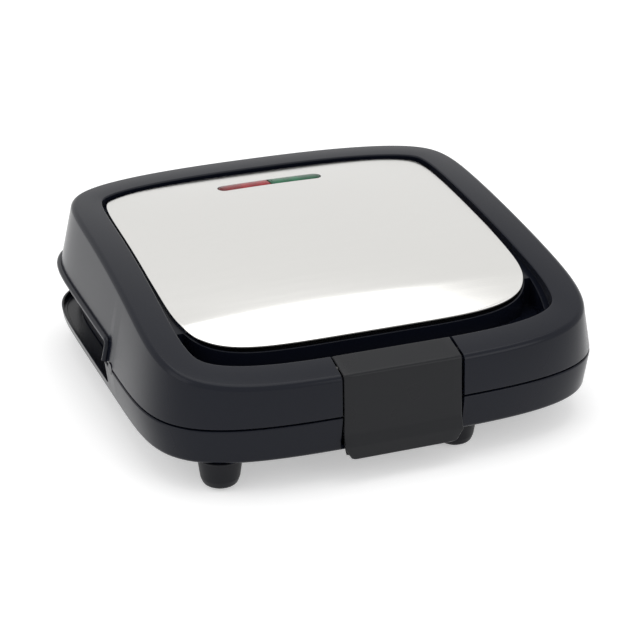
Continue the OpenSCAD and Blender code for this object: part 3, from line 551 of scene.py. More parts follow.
def brushed_steel(name, rgb, rough):
    """Cold-rolled stainless sheet, brushed from side to side: long fine lines and a stretched sheen.

    Real lines are about 0.1 mm apart. They are drawn coarser, and still hardly show in an even light.
    """
    spacing_mm = 0.5
    material, tree, out = blank(name)
    at = add(tree, "ShaderNodeTexCoord")
    long_way = add(tree, "ShaderNodeMapping", Vector=(at, "Object"), Scale=(0.012, 1.0, 1.0))
    lines = add(
        tree,
        "ShaderNodeTexNoise",
        Vector=(long_way, "Vector"),
        Scale=per_mm(spacing_mm),
        Detail=4.0,
        Roughness=0.7,
    )
    bands = add(
        tree,
        "ShaderNodeTexNoise",
        Vector=(long_way, "Vector"),
        Scale=per_mm(spacing_mm * 9),
        Detail=2.0,
        Roughness=0.5,
    )
    tint = add(
        tree, "ShaderNodeMix", MIX_COLOURS, i0=(lines, "Fac"), i6=rgba(rgb, 0.97), i7=rgba(rgb, 1.03)
    )
    gloss = add(
        tree, "ShaderNodeMapRange", i0=(bands, "Fac"), **MOST_NOISE, i3=rough - 0.01, i4=rough + 0.02
    )
    bump = add(tree, "ShaderNodeBump", Strength=0.012, Distance=0.02 * MM, Height=(lines, "Fac"))
    # The lines run from side to side, so light is spread from front to rear
    across_lines = add(tree, "ShaderNodeCombineXYZ", Y=1.0)
    turned = add(
        tree,
        "ShaderNodeVectorTransform",
        {"vector_type": "VECTOR", "convert_from": "OBJECT", "convert_to": "WORLD"},
        Vector=(across_lines, "Vector"),
    )
    # Painted shade: the turned-down front edge, which faces forward, is drawn much darker than the sheet
    facing = add(tree, "ShaderNodeSeparateXYZ", Vector=(at, "Normal"))
    forward = add(tree, "ShaderNodeMapRange", i0=(facing, "Y"), i1=-0.6, i2=-0.72, i3=0.0, i4=1.0)
    edge_painted_shade = add(
        tree, "ShaderNodeMix", MIX_COLOURS, i0=(forward, "Result"), i6=(tint, 2), i7=rgba(rgb, 0.12)
    )
    shader = add(
        tree,
        "ShaderNodeBsdfPrincipled",
        Base_Color=(edge_painted_shade, 2),
        Metallic=1.0,
        Roughness=(gloss, "Result"),
        Normal=(bump, "Normal"),
        Tangent=(turned, "Vector"),
        Anisotropic=0.5,
    )
    tree.links.new(shader.outputs["BSDF"], out.inputs["Surface"])
    return material


def plain_metal(name, rgb, rough, spot_mm):
    """Rolled or plated steel and aluminium: shade and gloss in faint spots from the mill."""
    material, tree, out = blank(name)
    at = add(tree, "ShaderNodeTexCoord")
    cloud = add(
        tree, "ShaderNodeTexNoise", Vector=(at, "Object"), Scale=per_mm(spot_mm), Detail=4.0, Roughness=0.6
    )
    tint = add(
        tree, "ShaderNodeMix", MIX_COLOURS, i0=(cloud, "Fac"), i6=rgba(rgb, 0.82), i7=rgba(rgb, 1.08)
    )
    gloss = add(
        tree, "ShaderNodeMapRange", i0=(cloud, "Fac"), **MOST_NOISE, i3=rough - 0.06, i4=rough + 0.08
    )
    soft = add(tree, "ShaderNodeBevel", {"samples": 4}, Radius=0.2 * MM)
    bump = add(
        tree,
        "ShaderNodeBump",
        Strength=0.15,
        Distance=0.05 * MM,
        Height=(cloud, "Fac"),
        Normal=(soft, "Normal"),
    )
    shader = add(
        tree,
        "ShaderNodeBsdfPrincipled",
        Base_Color=(tint, 2),
        Metallic=1.0,
        Roughness=(gloss, "Result"),
        Normal=(bump, "Normal"),
    )
    tree.links.new(shader.outputs["BSDF"], out.inputs["Surface"])
    return material


def lens_plastic(name, rgb):
    """Clear polycarbonate moulded in colour: a smooth face, and a tint that darkens towards the end."""
    end = 30.0 * MM
    material, tree, out = blank(name)
    at = add(tree, "ShaderNodeTexCoord")
    split = add(tree, "ShaderNodeSeparateXYZ", Vector=(at, "Object"))
    reach = add(tree, "ShaderNodeMath", {"operation": "ABSOLUTE"}, i0=(split, "X"))
    depth = add(tree, "ShaderNodeMapRange", i0=(reach, "Value"), i1=0.5 * end, i2=end, i3=0.0, i4=1.0)
    ribs = add(
        tree,
        "ShaderNodeTexWave",
        {"bands_direction": "X"},
        Vector=(at, "Object"),
        Scale=per_mm(1.6) / 20,
        Distortion=0.0,
    )
    tint = add(
        tree, "ShaderNodeMix", MIX_COLOURS, i0=(depth, "Result"), i6=rgba(rgb), i7=rgba(rgb, 0.45)
    )
    # Faint ribs under the face
    multiply = {"data_type": "RGBA", "blend_type": "MULTIPLY"}
    ribbed = add(tree, "ShaderNodeMix", multiply, i0=0.25, i6=(tint, 2), i7=(ribs, "Color"))
    bump = add(tree, "ShaderNodeBump", Strength=0.12, Distance=0.1 * MM, Height=(ribs, "Fac"))
    shader = add(
        tree,
        "ShaderNodeBsdfPrincipled",
        Base_Color=(ribbed, 2),
        Roughness=0.22,
        Normal=(bump, "Normal"),
        IOR=1.58,
        Specular_IOR_Level=0.2,
        Coat_Weight=0.12,
        Coat_Roughness=0.06,
        Subsurface_Weight=0.15,
        Subsurface_Scale=1.5 * MM,
    )
    tree.links.new(shader.outputs["BSDF"], out.inputs["Surface"])
    return material


def grained(name, rgb, rough, grain_mm, strength):
    """Matt, slightly rough materials such as rubber, ceramic, sleeve or coating."""
    material, tree, out = blank(name)
    at = add(tree, "ShaderNodeTexCoord")
    grain = add(
        tree, "ShaderNodeTexNoise", Vector=(at, "Object"), Scale=per_mm(grain_mm), Detail=5.0, Roughness=0.65
    )
    cloud = add(tree, "ShaderNodeTexNoise", Vector=(at, "Object"), Scale=per_mm(grain_mm * 25), Detail=2.0)
    tint = add(
        tree, "ShaderNodeMix", MIX_COLOURS, i0=(cloud, "Fac"), i6=rgba(rgb, 0.85), i7=rgba(rgb, 1.15)
    )
    gloss = add(
        tree, "ShaderNodeMapRange", i0=(cloud, "Fac"), **MOST_NOISE, i3=rough - 0.05, i4=rough + 0.06
    )
    bump = add(tree, "ShaderNodeBump", Strength=strength, Distance=0.1 * MM, Height=(grain, "Fac"))
    shader = add(
        tree,
        "ShaderNodeBsdfPrincipled",
        Base_Color=(tint, 2),
        Roughness=(gloss, "Result"),
        Normal=(bump, "Normal"),
        IOR=1.5,
    )
    tree.links.new(shader.outputs["BSDF"], out.inputs["Surface"])
    return material


FINISHES = {}


def finish(name):
    """The material of that name, made when it is first asked for."""
    if name not in FINISHES:
        c = colours()
        makers = {
            "satin_abs": lambda: moulded_plastic("satin_abs", c.housing, 0.21, 0.35, 0.03, 0.19, 0.35),
            "matt_abs": lambda: moulded_plastic("matt_abs", c.inner, 0.42, 0.4, 0.1, 0.2),
            "clip_abs": lambda: moulded_plastic("clip_abs", c.clip, 0.28, 0.3, 0.03, 0.22, 0.4),
            "brushed_stainless": lambda: brushed_steel("brushed_stainless", c.steel, 0.17),
            "red_polycarbonate": lambda: lens_plastic("red_polycarbonate", c.red),
            "green_polycarbonate": lambda: lens_plastic("green_polycarbonate", c.green),
            "moulded_rubber": lambda: grained("moulded_rubber", c.rubber, 0.75, 0.6, 0.3),
            # PTFE coat: low gloss over a fine grain
            "non_stick_coating": lambda: grained("non_stick_coating", c.coating, 0.38, 0.35, 0.12),
            "zinc_plated_steel": lambda: plain_metal("zinc_plated_steel", from_hex("#b4b6b8"), 0.32, 3.0),
            "stainless_pin": lambda: plain_metal("stainless_pin", from_hex("#c9c8c5"), 0.22, 2.0),
            "aluminised_sheet": lambda: plain_metal("aluminised_sheet", from_hex("#c4c6c8"), 0.38, 5.0),
            # Heater sheath: steel turned dark by heat
            "heater_sheath": lambda: plain_metal("heater_sheath", from_hex("#6d675f"), 0.45, 4.0),
            "steatite": lambda: grained("steatite", from_hex("#e4dfd2"), 0.55, 0.5, 0.15),
            "bakelite": lambda: grained("bakelite", from_hex("#5c4630"), 0.4, 0.6, 0.1),
            "glass_sleeve": lambda: grained("glass_sleeve", from_hex("#8e3a30"), 0.7, 0.4, 0.4),
            "red_lamp_glass": lambda: lens_plastic("red_lamp_glass", from_hex("#d2492c")),
            "green_lamp_glass": lambda: lens_plastic("green_lamp_glass", from_hex("#63c07c")),
        }
        FINISHES[name] = makers[name]()
    return FINISHES[name]


def dress(node, material, bevel=0.0):
    """Give a carried-over node its material and, where it shows, rounded edges."""
    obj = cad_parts[node]
    obj.data.materials.clear()
    obj.data.materials.append(finish(material))
    if bevel:
        weld = obj.modifiers.new("weld", "WELD")
        weld.merge_threshold = 0.002 * MM
        flat = obj.modifiers.new("planar", "DECIMATE")
        flat.decimate_type, flat.angle_limit = "DISSOLVE", math.radians(1.0)
        edge = obj.modifiers.new("edge", "BEVEL")
        edge.width, edge.segments, edge.limit_method = bevel * MM, 2, "ANGLE"
        edge.angle_limit, edge.harden_normals = math.radians(35), True
    return obj


# ---- Shared cutters ----


def recess_tool(name, side, form, grow=0.0):
    """Finger room between base and lid at one side, with round corners seen from the side."""
    s = form.s
    r = 5.0 + grow
    section = rounded(
        [
            (-s.recess_front - grow, form.parting - s.recess_down - grow, r * 0.5),
            (s.recess_rear + grow, form.parting - s.recess_down - grow, r),
            (s.recess_rear + grow, form.parting + s.recess_up + grow, r),
            (-s.recess_front - grow, form.parting + s.recess_up + grow, r * 0.6),
        ]
    )
    tool = across(name, section, *span(side, form.half_w / 2, form.half_w + 20), form)
    inner = s.recess_in + grow
    core = loft("core", [form.inset(inner, s.foot_h - 1), form.inset(inner, form.parting + s.lid_h)], form)
    return carve(tool, [core])


def slot_tools(form, grow=0.0):
    """The latch slot's cutters down the front."""
    s = form.s
    w = form.slot_w / 2 + grow
    front = -s.front_reach
    top = form.latch_z
    return [
        block("slot_top", -w, w, front - 20, form.latch_y - 7.5 + grow, form.parting - 2, top, form),
        block("slot_mid", -w, w, front - 20, front + 8.5 + grow, s.foot_h + 3 - grow, form.parting + 2, form),
        block("slot_low", -w, w, front - 20, front + 3, s.foot_h - 5, form.parting, form),
    ]


BARREL_R = 4.5
BARREL_L = 18.0
KNUCKLE_L = 7.0
LUG_GAP = 0.4
HINGE_X = 44.0
ARM_GAP = 0.3  # room round a hinge's arm


def at_hinge(side, half):
    """Bounds along X about the hinge on one side."""
    return side * HINGE_X - half, side * HINGE_X + half


def pocket_tool(name, side, form, grow=0.0):
    """Room for a hinge's barrel and both its knuckles."""
    half = BARREL_L / 2 + KNUCKLE_L + 2 * LUG_GAP + grow
    return bar(name, *at_hinge(side, half), form.hinge_y, form.hinge_z, BARREL_R + 0.5 + grow, form)


def openings(name, form, grow=0.0):
    """The cutters that both housings share: side recesses, latch slot and hinge pockets."""
    recesses = mirrored(lambda side: recess_tool(name, side, form, grow))
    pockets = mirrored(lambda side: pocket_tool(name, side, form, grow))
    return recesses + slot_tools(form, grow) + pockets


TAB_AHEAD = 10.0  # the base's round tabs lie this far in front of the recesses
TAB_R = 3.0
NOTCH_R = 3.6  # radius of the lid's notch over a tab


def tab_bar(name, side, r, form):
    y = -form.s.recess_front - TAB_AHEAD
    return bar(name, *span(side, form.half_w / 2, form.half_w + 1), y, form.base_top, r, form)


def window_tool(long, wide, over, form):
    """Cutter through the lid for an opening at the indicator's place, up to a height over its rim."""
    line = stadium(long, wide)
    line[:, 1] += form.s.window_reach
    return prism("window", line, [(line, form.parting), (line, form.parting + form.s.lid_h + over)], form)


def well_tool(form, grow=0.0):
    """The finger well in front of the steel cover and round its front corners."""
    s = form.s
    inner = s.rim_w + 0.5 - grow
    floor = form.parting + s.well_up - grow
    edge = 1.6 if grow == 0 else 0.0
    top = form.parting + s.lid_h
    rings = [
        form.lid_inset(top, inner + edge * (1 - math.sin(t)), floor + edge * (1 - math.cos(t)))
        for t in np.radians([0, 30, 60, 90] if edge else [90])
    ]
    tool = loft("well", rings + [form.rim_ring(-10, inner)], form)
    rear = -s.bend_reach - 2 + grow
    clip = block("clip", -s.body_w, s.body_w, -s.front_reach, rear, form.parting, 3 * form.parting, form)
    carve(tool, [clip], "INTERSECT")
    line = form.cover_line(grow - 0.5)
    return carve(tool, [prism("under", line, [(line, form.parting), (line, 3 * form.parting)], form)])


def arc_steps(count):
    """Angles of a quarter turn, both ends in."""
    return [math.radians(90 * i / count) for i in range(count + 1)]


# ---- Operators: one for each piece or group of like pieces ----


class WAFFLE_OT_base_housing(bpy.types.Operator):
    """Base housing with its recesses, round tabs, latch slot, hinge pockets and inlet slot"""

    bl_idname = "waffle.base_housing"
    bl_label = "Base Housing"

    def execute(self, context):
        s = sizes()
        form = Form(s)
        floor_top = s.foot_h + s.wall
        leg_y = form.hinge_y - 8.8
        housing = self.shell(form)
        carve(housing, [self.hollow(floor_top, leg_y, form)])
        for side in (-1, 1):
            carve(housing, [self.tab(side, form)], "UNION")
        carve(housing, mirrored(lambda side: recess_tool("recess", side, form)))
        for side in (-1, 1):
            carve(housing, [self.trough(side, floor_top, form)])
        carve(housing, slot_tools(form))
        carve(housing, mirrored(lambda side: pocket_tool("pocket", side, form)))
        half = BARREL_L / 2 + LUG_GAP
        front, low = leg_y - ARM_GAP, form.hinge_z - BARREL_R - ARM_GAP
        for side in (-1, 1):
            arm = block("arm", *at_hinge(side, half), front, form.hinge_y, low, form.parting, form)
            carve(housing, [arm])
        half = 5.3  # of the cord inlet's slot
        inlet = block("inlet", -half, half, leg_y - 8, s.rear_reach + 1, floor_top, form.parting, form)
        carve(housing, [inlet])
        smooth(housing)
        seat(housing, "base", finish("satin_abs"), "housing_plastic", "base_housing")
        return {"FINISHED"}

    def shell(self, form):
        """Solid outer form: a round lower edge, leaning walls and a small bevel at the top."""
        r, bevel = BASE_EDGE_R, 1.2 * BEVEL
        rings = [
            form.inset(BASE_LEAN + r * (1 - math.sin(t)), form.s.foot_h + r * (1 - math.cos(t)))
            for t in arc_steps(7)
        ]
        rings += [
            form.inset(bevel * (1 - math.cos(t)), form.base_top - bevel * (1 - math.sin(t)))
            for t in arc_steps(6)
        ]
        return loft("base_shell", rings, form)

    def hollow(self, floor_top, leg_y, form):
        """The room inside, less the walls round the openings and behind the hinges."""
        s = form.s
        rings = [
            form.inset(BASE_LEAN + s.wall, floor_top),
            form.inset(s.wall, form.base_top - BEVEL),
            form.inset(s.wall, form.parting + 1),
        ]
        hollow = loft("hollow", rings, form)
        carve(hollow, openings("keep", form, s.wall))
        for side in (-1, 1):
            keep = block(
                "keep", *at_hinge(side, 12), leg_y, s.rear_reach, s.foot_h, form.parting - 5, form
            )
            carve(hollow, [keep])
        return hollow

    def tab(self, side, form):
        """Round tab in front of a recess, cut to the wall's thickness."""
        s = form.s
        tab = tab_bar("tab", side, TAB_R, form)
        outer = loft("w", [form.inset(0.0, s.foot_h), form.inset(0.0, form.parting + s.lid_h)], form)
        inner = loft("v", [form.inset(s.wall, s.foot_h - 1), form.inset(s.wall, form.parting + 50)], form)
        carve(tab, [outer], "INTERSECT")
        return carve(tab, [inner])

    def trough(self, side, floor_top, form):
        """The deeper part of a recess, between its outer lip and its inner wall."""
        s = form.s
        ends = span(side, form.half_w / 2, form.half_w)
        low = floor_top + 0.6
        trough = block("trough", *ends, -s.recess_front, s.recess_rear, low, form.parting, form)
        lip, back = s.wall + 0.2, s.recess_in - 0.1
        line = loft("w", [form.inset(lip, s.foot_h), form.inset(lip, form.parting + 1)], form)
        core = loft("v", [form.inset(back, s.foot_h - 1), form.inset(back, 60)], form)
        carve(trough, [line], "INTERSECT")
        return carve(trough, [core])


class WAFFLE_OT_lid_housing(bpy.types.Operator):
    """Lid housing with its rim, cover shelf, finger well, recesses and their lips"""

    bl_idname = "waffle.lid_housing"
    bl_label = "Lid Housing"

    def execute(self, context):
        s = sizes()
        form = Form(s)
        housing = self.shell(form)
        carve(housing, [self.hollow(form)])
        carve(housing, openings("opening", form))
        carve(housing, [well_tool(form)])
        w = form.slot_w / 2
        bracket = block("bracket", -w, w, -s.body_w, form.latch_y + 9, form.latch_z - 4.4, s.body_w, form)
        carve(housing, [bracket])
        arm_front = form.hinge_y - 12.4 - ARM_GAP
        start, end = BARREL_L / 2, BARREL_L / 2 + KNUCKLE_L + 2 * LUG_GAP
        for side in (-1, 1):
            for way in (-1, 1):
                low, high = sorted((side * HINGE_X + way * start, side * HINGE_X + way * end))
                top = form.hinge_z + BARREL_R
                carve(housing, [block("arm", low, high, arm_front, form.hinge_y, form.parting, top, form)])
            carve(housing, [tab_bar("notch", side, NOTCH_R, form)])
        carve(housing, [window_tool(44.0, 6.0, 20, form)])
        smooth(housing)
        seat(housing, "lid", finish("satin_abs"), "housing_plastic", "lid_housing")
        for side in (-1, 1):
            seat(self.lip(side, form), "lid", finish("satin_abs"), "housing_plastic")
        return {"FINISHED"}

    def shell(self, form):
        """Solid outer form: bevelled lower edge, leaning walls, rounded rim and the cover's shelf."""
        s = form.s
        r, ri, low = s.rim_edge_r, s.rim_inner_r, form.lid_low
        rings = [
            form.lid_inset(low + BEVEL, BEVEL * (1 - math.sin(t)), low + BEVEL * (1 - math.cos(t)))
            for t in arc_steps(4)
        ]
        rings += [form.rim_ring(r * (1 - math.sin(t)), r * (1 - math.cos(t))) for t in arc_steps(10)]
        rings += [
            form.rim_ring(ri * (1 - math.cos(t)), s.rim_w - ri * (1 - math.sin(t))) for t in arc_steps(5)
        ]
        return loft("lid_shell", rings + [form.shelf_ring()], form)

    def hollow(self, form):
        """The room inside, less the walls round the openings and the finger well."""
        s = form.s
        rings = [
            form.lid_inset(form.lid_low, s.wall, form.lid_low - 1),
            form.rim_ring(s.wall + 2, s.wall + 0.5),
            form.rim_ring(s.wall, s.wall + s.rim_edge_r),
            form.rim_ring(s.wall, s.rim_w - s.wall),
            form.shelf_ring(s.wall),
        ]
        hollow = loft("hollow", rings, form)
        return carve(hollow, openings("keep", form, s.wall) + [well_tool(form, s.wall)])

    def lip(self, side, form):
        """Bead along a recess's upper edge that turns down its front end."""
        s = form.s
        top = form.parting + s.recess_up + 1.3
        front = -s.recess_front - 1.6
        bend = 3.0
        out = 0.45  # the bead's middle lies this far out from the wall
        ys = np.linspace(s.recess_rear - 1.0, front + bend, 70)
        path = [form.wall_point(side, y, top, out) for y in ys]
        for t in arc_steps(6)[1:]:
            y, z = front + bend * (1 - math.sin(t)), top - bend * (1 - math.cos(t))
            path.append(form.wall_point(side, y, z, out))
        down = np.linspace(top - bend - 1, form.lid_low + 0.3, 6)
        path += [form.wall_point(side, front, z, out) for z in down]
        turn = np.linspace(0, 2 * math.pi, 20, endpoint=False)
        section = [(1.75 * math.cos(a), 1.5 * math.sin(a)) for a in turn]
        taper = [min(1.0, 0.25 + i / 4) for i in range(len(path))]
        bead = swept("recess_lip_left" if side < 0 else "recess_lip_right", path, section, form, taper)
        return smooth(outward(bead), 50)


def stadium(long, wide, count=20):
    """Stadium outline along X, counter-clockwise."""
    r = wide / 2
    return np.concatenate(
        [circle(long / 2 - r, 0, r, count, -90, 180), circle(-long / 2 + r, 0, r, count, 90, 180)]
    )


COVER_COLUMNS = 44  # strips across the cover
COVER_FOLD = 0.8  # radius of the turned-down edge


def sheet_z(x, y, form):
    """Height of the sheet: its crown rolls off forward, to one crisp and nearly straight fold."""
    s = form.s
    t = np.clip((-y - s.bend_reach) / s.slope_reach, 0, 1)
    roll = np.clip(-y / s.bend_reach, 0, 1) ** 2.6
    fore = np.clip(-y / (s.bend_reach + s.slope_reach), 0, 1)
    lost = (1 - fore**4) - (1 - 0.56 * roll) * (1 - t)
    crown = s.cover_crown * np.maximum(0, 1 - (x / form.cover_half) ** 2)
    return form.cover_z(x, y) - (s.slope_drop - COVER_EDGE) * (t - t**1.4) - crown * lost


class WAFFLE_OT_steel_cover(bpy.types.Operator):
    """Crowned brushed cover with a bend, a front slope and a turned-down edge"""

    bl_idname = "waffle.steel_cover"
    bl_label = "Steel Cover"

    def execute(self, context):
        s = sizes()
        form = Form(s)
        top, faces, ring = self.top(form)
        n, count = len(ring), len(top)
        points = [top]
        for made in self.edge_rings(form):
            points.append(made)
            new = list(range(count, count + n))
            faces += [(ring[j], new[j], new[(j + 1) % n], ring[(j + 1) % n]) for j in range(n)]
            ring, count = new, count + n
        faces += cap_strips(n, ring[0], False)
        cover = outward(new_object("lid_cover", np.concatenate(points), faces, form))
        carve(cover, [window_tool(s.window_l + 0.6, s.window_w + 0.6, 30, form)])
        smooth(cover, 40)
        seat(cover, "lid", finish("brushed_stainless"), "brushed_steel", "steel_cover")
        return {"FINISHED"}

    def top(self, form):
        """The upper face in rows across X: its points, its faces and the numbers of its rim's points."""
        line = form.cover_line(COVER_FOLD)
        n = len(line)
        q = n // 4
        row = COVER_COLUMNS + 1
        shares = np.linspace(-1, 1, row)
        rows = [np.array([[0.0, line[-q][1]]])]
        for k in range(1 - q, q):
            x, y = line[k % n]
            rows.append(np.column_stack([-x * shares, np.full(row, y)]))
        rows.append(np.array([[0.0, line[q][1]]]))
        flat = np.concatenate(rows)
        points = np.column_stack([flat, sheet_z(flat[:, 0], flat[:, 1], form)])

        def number(k, c):
            """Number of a point in row k and column c; the first and last rows hold one point each."""
            if k == -q:
                return 0
            if k == q:
                return 1 + (2 * q - 1) * row
            return 1 + (k + q - 1) * row + c

        def rim_number(j):
            if j <= q:
                return number(j, 0)
            if j >= 3 * q:
                return number(j - n, 0)
            return number(2 * q - j, COVER_COLUMNS)

        faces = []
        for k in range(-q, q):
            for c in range(COVER_COLUMNS):
                loop = [number(k, c), number(k + 1, c), number(k + 1, c + 1), number(k, c + 1)]
                faces.append([v for i, v in enumerate(loop) if v != loop[i - 1]])
        return points, faces, [rim_number(j) for j in range(n)]

    def edge_rings(self, form):
        """Rings round the fold, down the turned-down edge and back up inside it."""
        start = form.cover_line(COVER_FOLD)
        z = sheet_z(start[:, 0], start[:, 1], form)
        for t in arc_steps(5)[1:]:
            line = form.cover_line(COVER_FOLD * (1 - math.sin(t)))
            yield np.column_stack([line, z - COVER_FOLD * (1 - math.cos(t))])
        for d, up in ((0, 0.1), (form.s.sheet_t, 0.1), (form.s.sheet_t, 1.2)):
            line = form.cover_line(d)
            yield np.column_stack([line, form.shelf_z(line[:, 1]) + up])


class WAFFLE_OT_indicator(bpy.types.Operator):
    """Red and green halves of the indicator window"""

    bl_idname = "waffle.indicator"
    bl_label = "Indicator"

    def execute(self, context):
        s = sizes()
        form = Form(s)
        names = {
            -1: ("red_window", "red_polycarbonate", "red_lens"),
            1: ("green_window", "green_polycarbonate", "green_lens"),
        }
        for side, (name, material, node) in names.items():
            lens = self.half(name, side, form)
            seat(lens, "lid", finish(material), name, node)
        return {"FINISHED"}

    def half(self, name, side, form):
        """One lens: from the shelf up through the sheet, with a round edge and a low crown."""
        s = form.s
        r = s.window_w / 2
        gap, proud, crown, round_r = 0.15, 0.4, 0.25, 1.2
        arc = circle(s.window_l / 2 - r, 0, r, 24, -90, 180)
        spread = [(x, -r) for x in np.linspace(gap, s.window_l / 2 - r, 12)[:-1]]
        line = np.concatenate([spread, arc, [(x, r) for x, _ in spread[::-1]]])
        base = form.shelf_z(s.window_reach + r + 1.2) + 0.1
        rings = []
        steps = [(round_r * (1 - math.cos(t)), round_r * (1 - math.sin(t))) for t in arc_steps(5)]
        for d, down in [(0.0, None), *steps]:
            p = offset(line, d)
            p[:, 0] = np.maximum(p[:, 0], gap)
            y = p[:, 1] + s.window_reach
            z = np.full(len(p), base) if down is None else form.cover_z(p[:, 0], y) + proud - down
            rings.append(np.column_stack([p[:, 0], y, z]))
        inner = offset(line, round_r)
        middle_line = np.array([s.window_l / 4, 0.0])
        for k in (0.75, 0.5, 0.25):
            p = middle_line + (inner - middle_line) * (1, k)
            p[:, 0] = np.maximum(p[:, 0], gap)
            y = p[:, 1] + s.window_reach
            z = form.cover_z(p[:, 0], y) + proud + crown * (1 - k * k)
            rings.append(np.column_stack([p[:, 0], y, z]))
        points = np.concatenate(rings)
        points[:, 0] *= side
        return smooth(outward(new_object(name, points, closed(len(rings), len(line)), form)), 40)


class WAFFLE_OT_latch(bpy.types.Operator):
    """Latch clip: barrel, top plate, front plate with a flared lip, and hook"""

    bl_idname = "waffle.latch"
    bl_label = "Latch Clip"

    def execute(self, context):
        s = sizes()
        form = Form(s)
        low = low_of("latch", 2)
        section = self.section(low, form)
        half = self.half_widths(section, low, form)
        edge = 0.8
        # How far each ring lies in from the clip's side, and its section in from the full one
        steps = [(edge * (1 - math.cos(a)), edge * (1 - math.sin(a))) for a in arc_steps(4)]
        rings = [np.column_stack([-(half - inward), offset(section, back)]) for inward, back in steps]
        rings += [np.column_stack([k * (half - edge), section]) for k in np.linspace(-1, 1, 14)[1:-1]]
        rings += [np.column_stack([half - inward, offset(section, back)]) for inward, back in steps[::-1]]
        faces = closed(len(rings), len(section))
        clip = outward(new_object("latch_clip", np.concatenate(rings), faces, form))
        carve(clip, [bar("pin", -s.latch_w, s.latch_w, form.latch_y, form.latch_z, 1.55, form)])
        smooth(clip, 40)
        seat(clip, "latch", finish("clip_abs"), "latch_plastic", "latch")
        return {"FINISHED"}

    def section(self, low, form):
        """The clip's section in (y, z): plates and hook, then round the barrel and back over the top."""
        s = form.s
        t = s.latch_t
        front = -s.front_reach
        lip_front = front - 2.5
        bend_y = front + 2.1
        bend_z = form.rim_z(bend_y)
        flare = s.foot_h + 10
        hook_y = front + 6.5
        hook_top = low + 2.6
        barrel = 4.0
        rear = s.rim_w + 1.4 - s.front_reach
        top_z = form.rim_z(rear) - 0.1
        tail_z = top_z - 2.3
        mid = 0.8 * np.array([rear, top_z]) + 0.2 * np.array([bend_y, bend_z])
        plates = rounded(
            [
                (mid[0], mid[1], 0),
                (bend_y, bend_z, 2.4),
                (front - 0.2, flare, 12),
                (lip_front, flare - 6.5, 4),
                (lip_front + 0.2, low, 1.2),
                (hook_y, low, 0.8),
                (hook_y, hook_top, 0.8),
                (lip_front + t, hook_top, 1.2),
                (lip_front + t, flare - 6, 3),
                (front - 0.2 + t, flare + 0.5, 8),
                (bend_y + t, bend_z - t, 1.5),
                (form.latch_y - 3.9, form.latch_z + 0.9, 0),
            ],
            12,
        )
        start = math.degrees(math.atan2(0.9, -3.9))
        stop = 360 + math.degrees(math.asin((tail_z - 0.2 - form.latch_z) / barrel))
        turn = circle(form.latch_y, form.latch_z, barrel, 30, start, stop - start)
        tail = rounded([(rear - 3, tail_z, 0), (rear, tail_z, 0.6), (rear, top_z, 0.5), (mid[0], mid[1], 0)])
        section = np.concatenate([plates, turn, tail[1:-1]])[::-1]
        # Points that nearly meet are merged, and the section is left counter-clockwise
        section = section[np.linalg.norm(section - np.roll(section, 1, 0), axis=1) > 0.02]
        y, z = section[:, 0], section[:, 1]
        area = np.sum(y * np.roll(z, -1) - np.roll(y, -1) * z)
        return section if area > 0 else section[::-1]

    def half_widths(self, section, low, form):
        """Half the clip's width at each point: round lower corners, and a hook cut back inside them."""
        s = form.s
        r = 7.0
        dip = np.clip(low + r - section[:, 1], 0, r)
        half = s.latch_w / 2 - r + np.sqrt(np.maximum(r * r - dip * dip, 0))
        hook = (section[:, 0] > s.latch_t - s.front_reach - 2.5 + 0.3) & (section[:, 1] < low + 2.7)
        return np.where(hook, half - 5.0, half)


class WAFFLE_OT_feet(bpy.types.Operator):
    """Four tapered feet with a seam at the top and a round lower edge"""

    bl_idname = "waffle.feet"
    bl_label = "Feet"

    def execute(self, context):
        s = sizes()
        form = Form(s)
        low_x, high_x = low_of("feet", 0), high_of("feet", 0)
        low_y, high_y = low_of("feet", 1) - form.mid_y, high_of("feet", 1) - form.mid_y
        top_r, low_r, hollow_r = 12.0, 9.4, 4.2
        left, rear, fore = low_x + top_r, high_y - top_r, low_y + top_r
        places = [(left, fore), (38.0, fore), (left, rear), (high_x - top_r, rear)]
        profile = rounded(
            [
                (hollow_r, 1.2, 0),
                (low_r - 0.8, 1.2, 3),
                (low_r + 0.7, 5.5, 5),
                (top_r - 0.5, s.foot_h - 1.0, 0),
                (top_r, s.foot_h - 0.6, 0),
                (top_r, s.foot_h, 0),
            ],
            8,
        )
        profile = [(hollow_r, 4.0), *profile]
        count = 56
        angles = np.linspace(0, 2 * math.pi, count, endpoint=False)
        for i, (x, y) in enumerate(places):
            points = [(x + r * math.cos(a), y + r * math.sin(a), z) for r, z in profile for a in angles]
            faces = closed(len(profile), count)
            foot = smooth(outward(new_object(f"foot_{i + 1}", points, faces, form)), 28)
            seat(foot, "base", finish("matt_abs"), "inner_plastic", *(["feet"] if i == 0 else []))
        return {"FINISHED"}


class WAFFLE_OT_plates(bpy.types.Operator):
    """Cooking plates, their frames, and the coating on them"""

    bl_idname = "waffle.plates"
    bl_label = "Cooking Plates"

    def execute(self, context):
        for node in ("lower_plate", "upper_plate"):
            dress(node, "non_stick_coating", 0.7)
        for node in ("base_deck", "lid_deck"):
            dress(node, "matt_abs", 0.3)
        return {"FINISHED"}


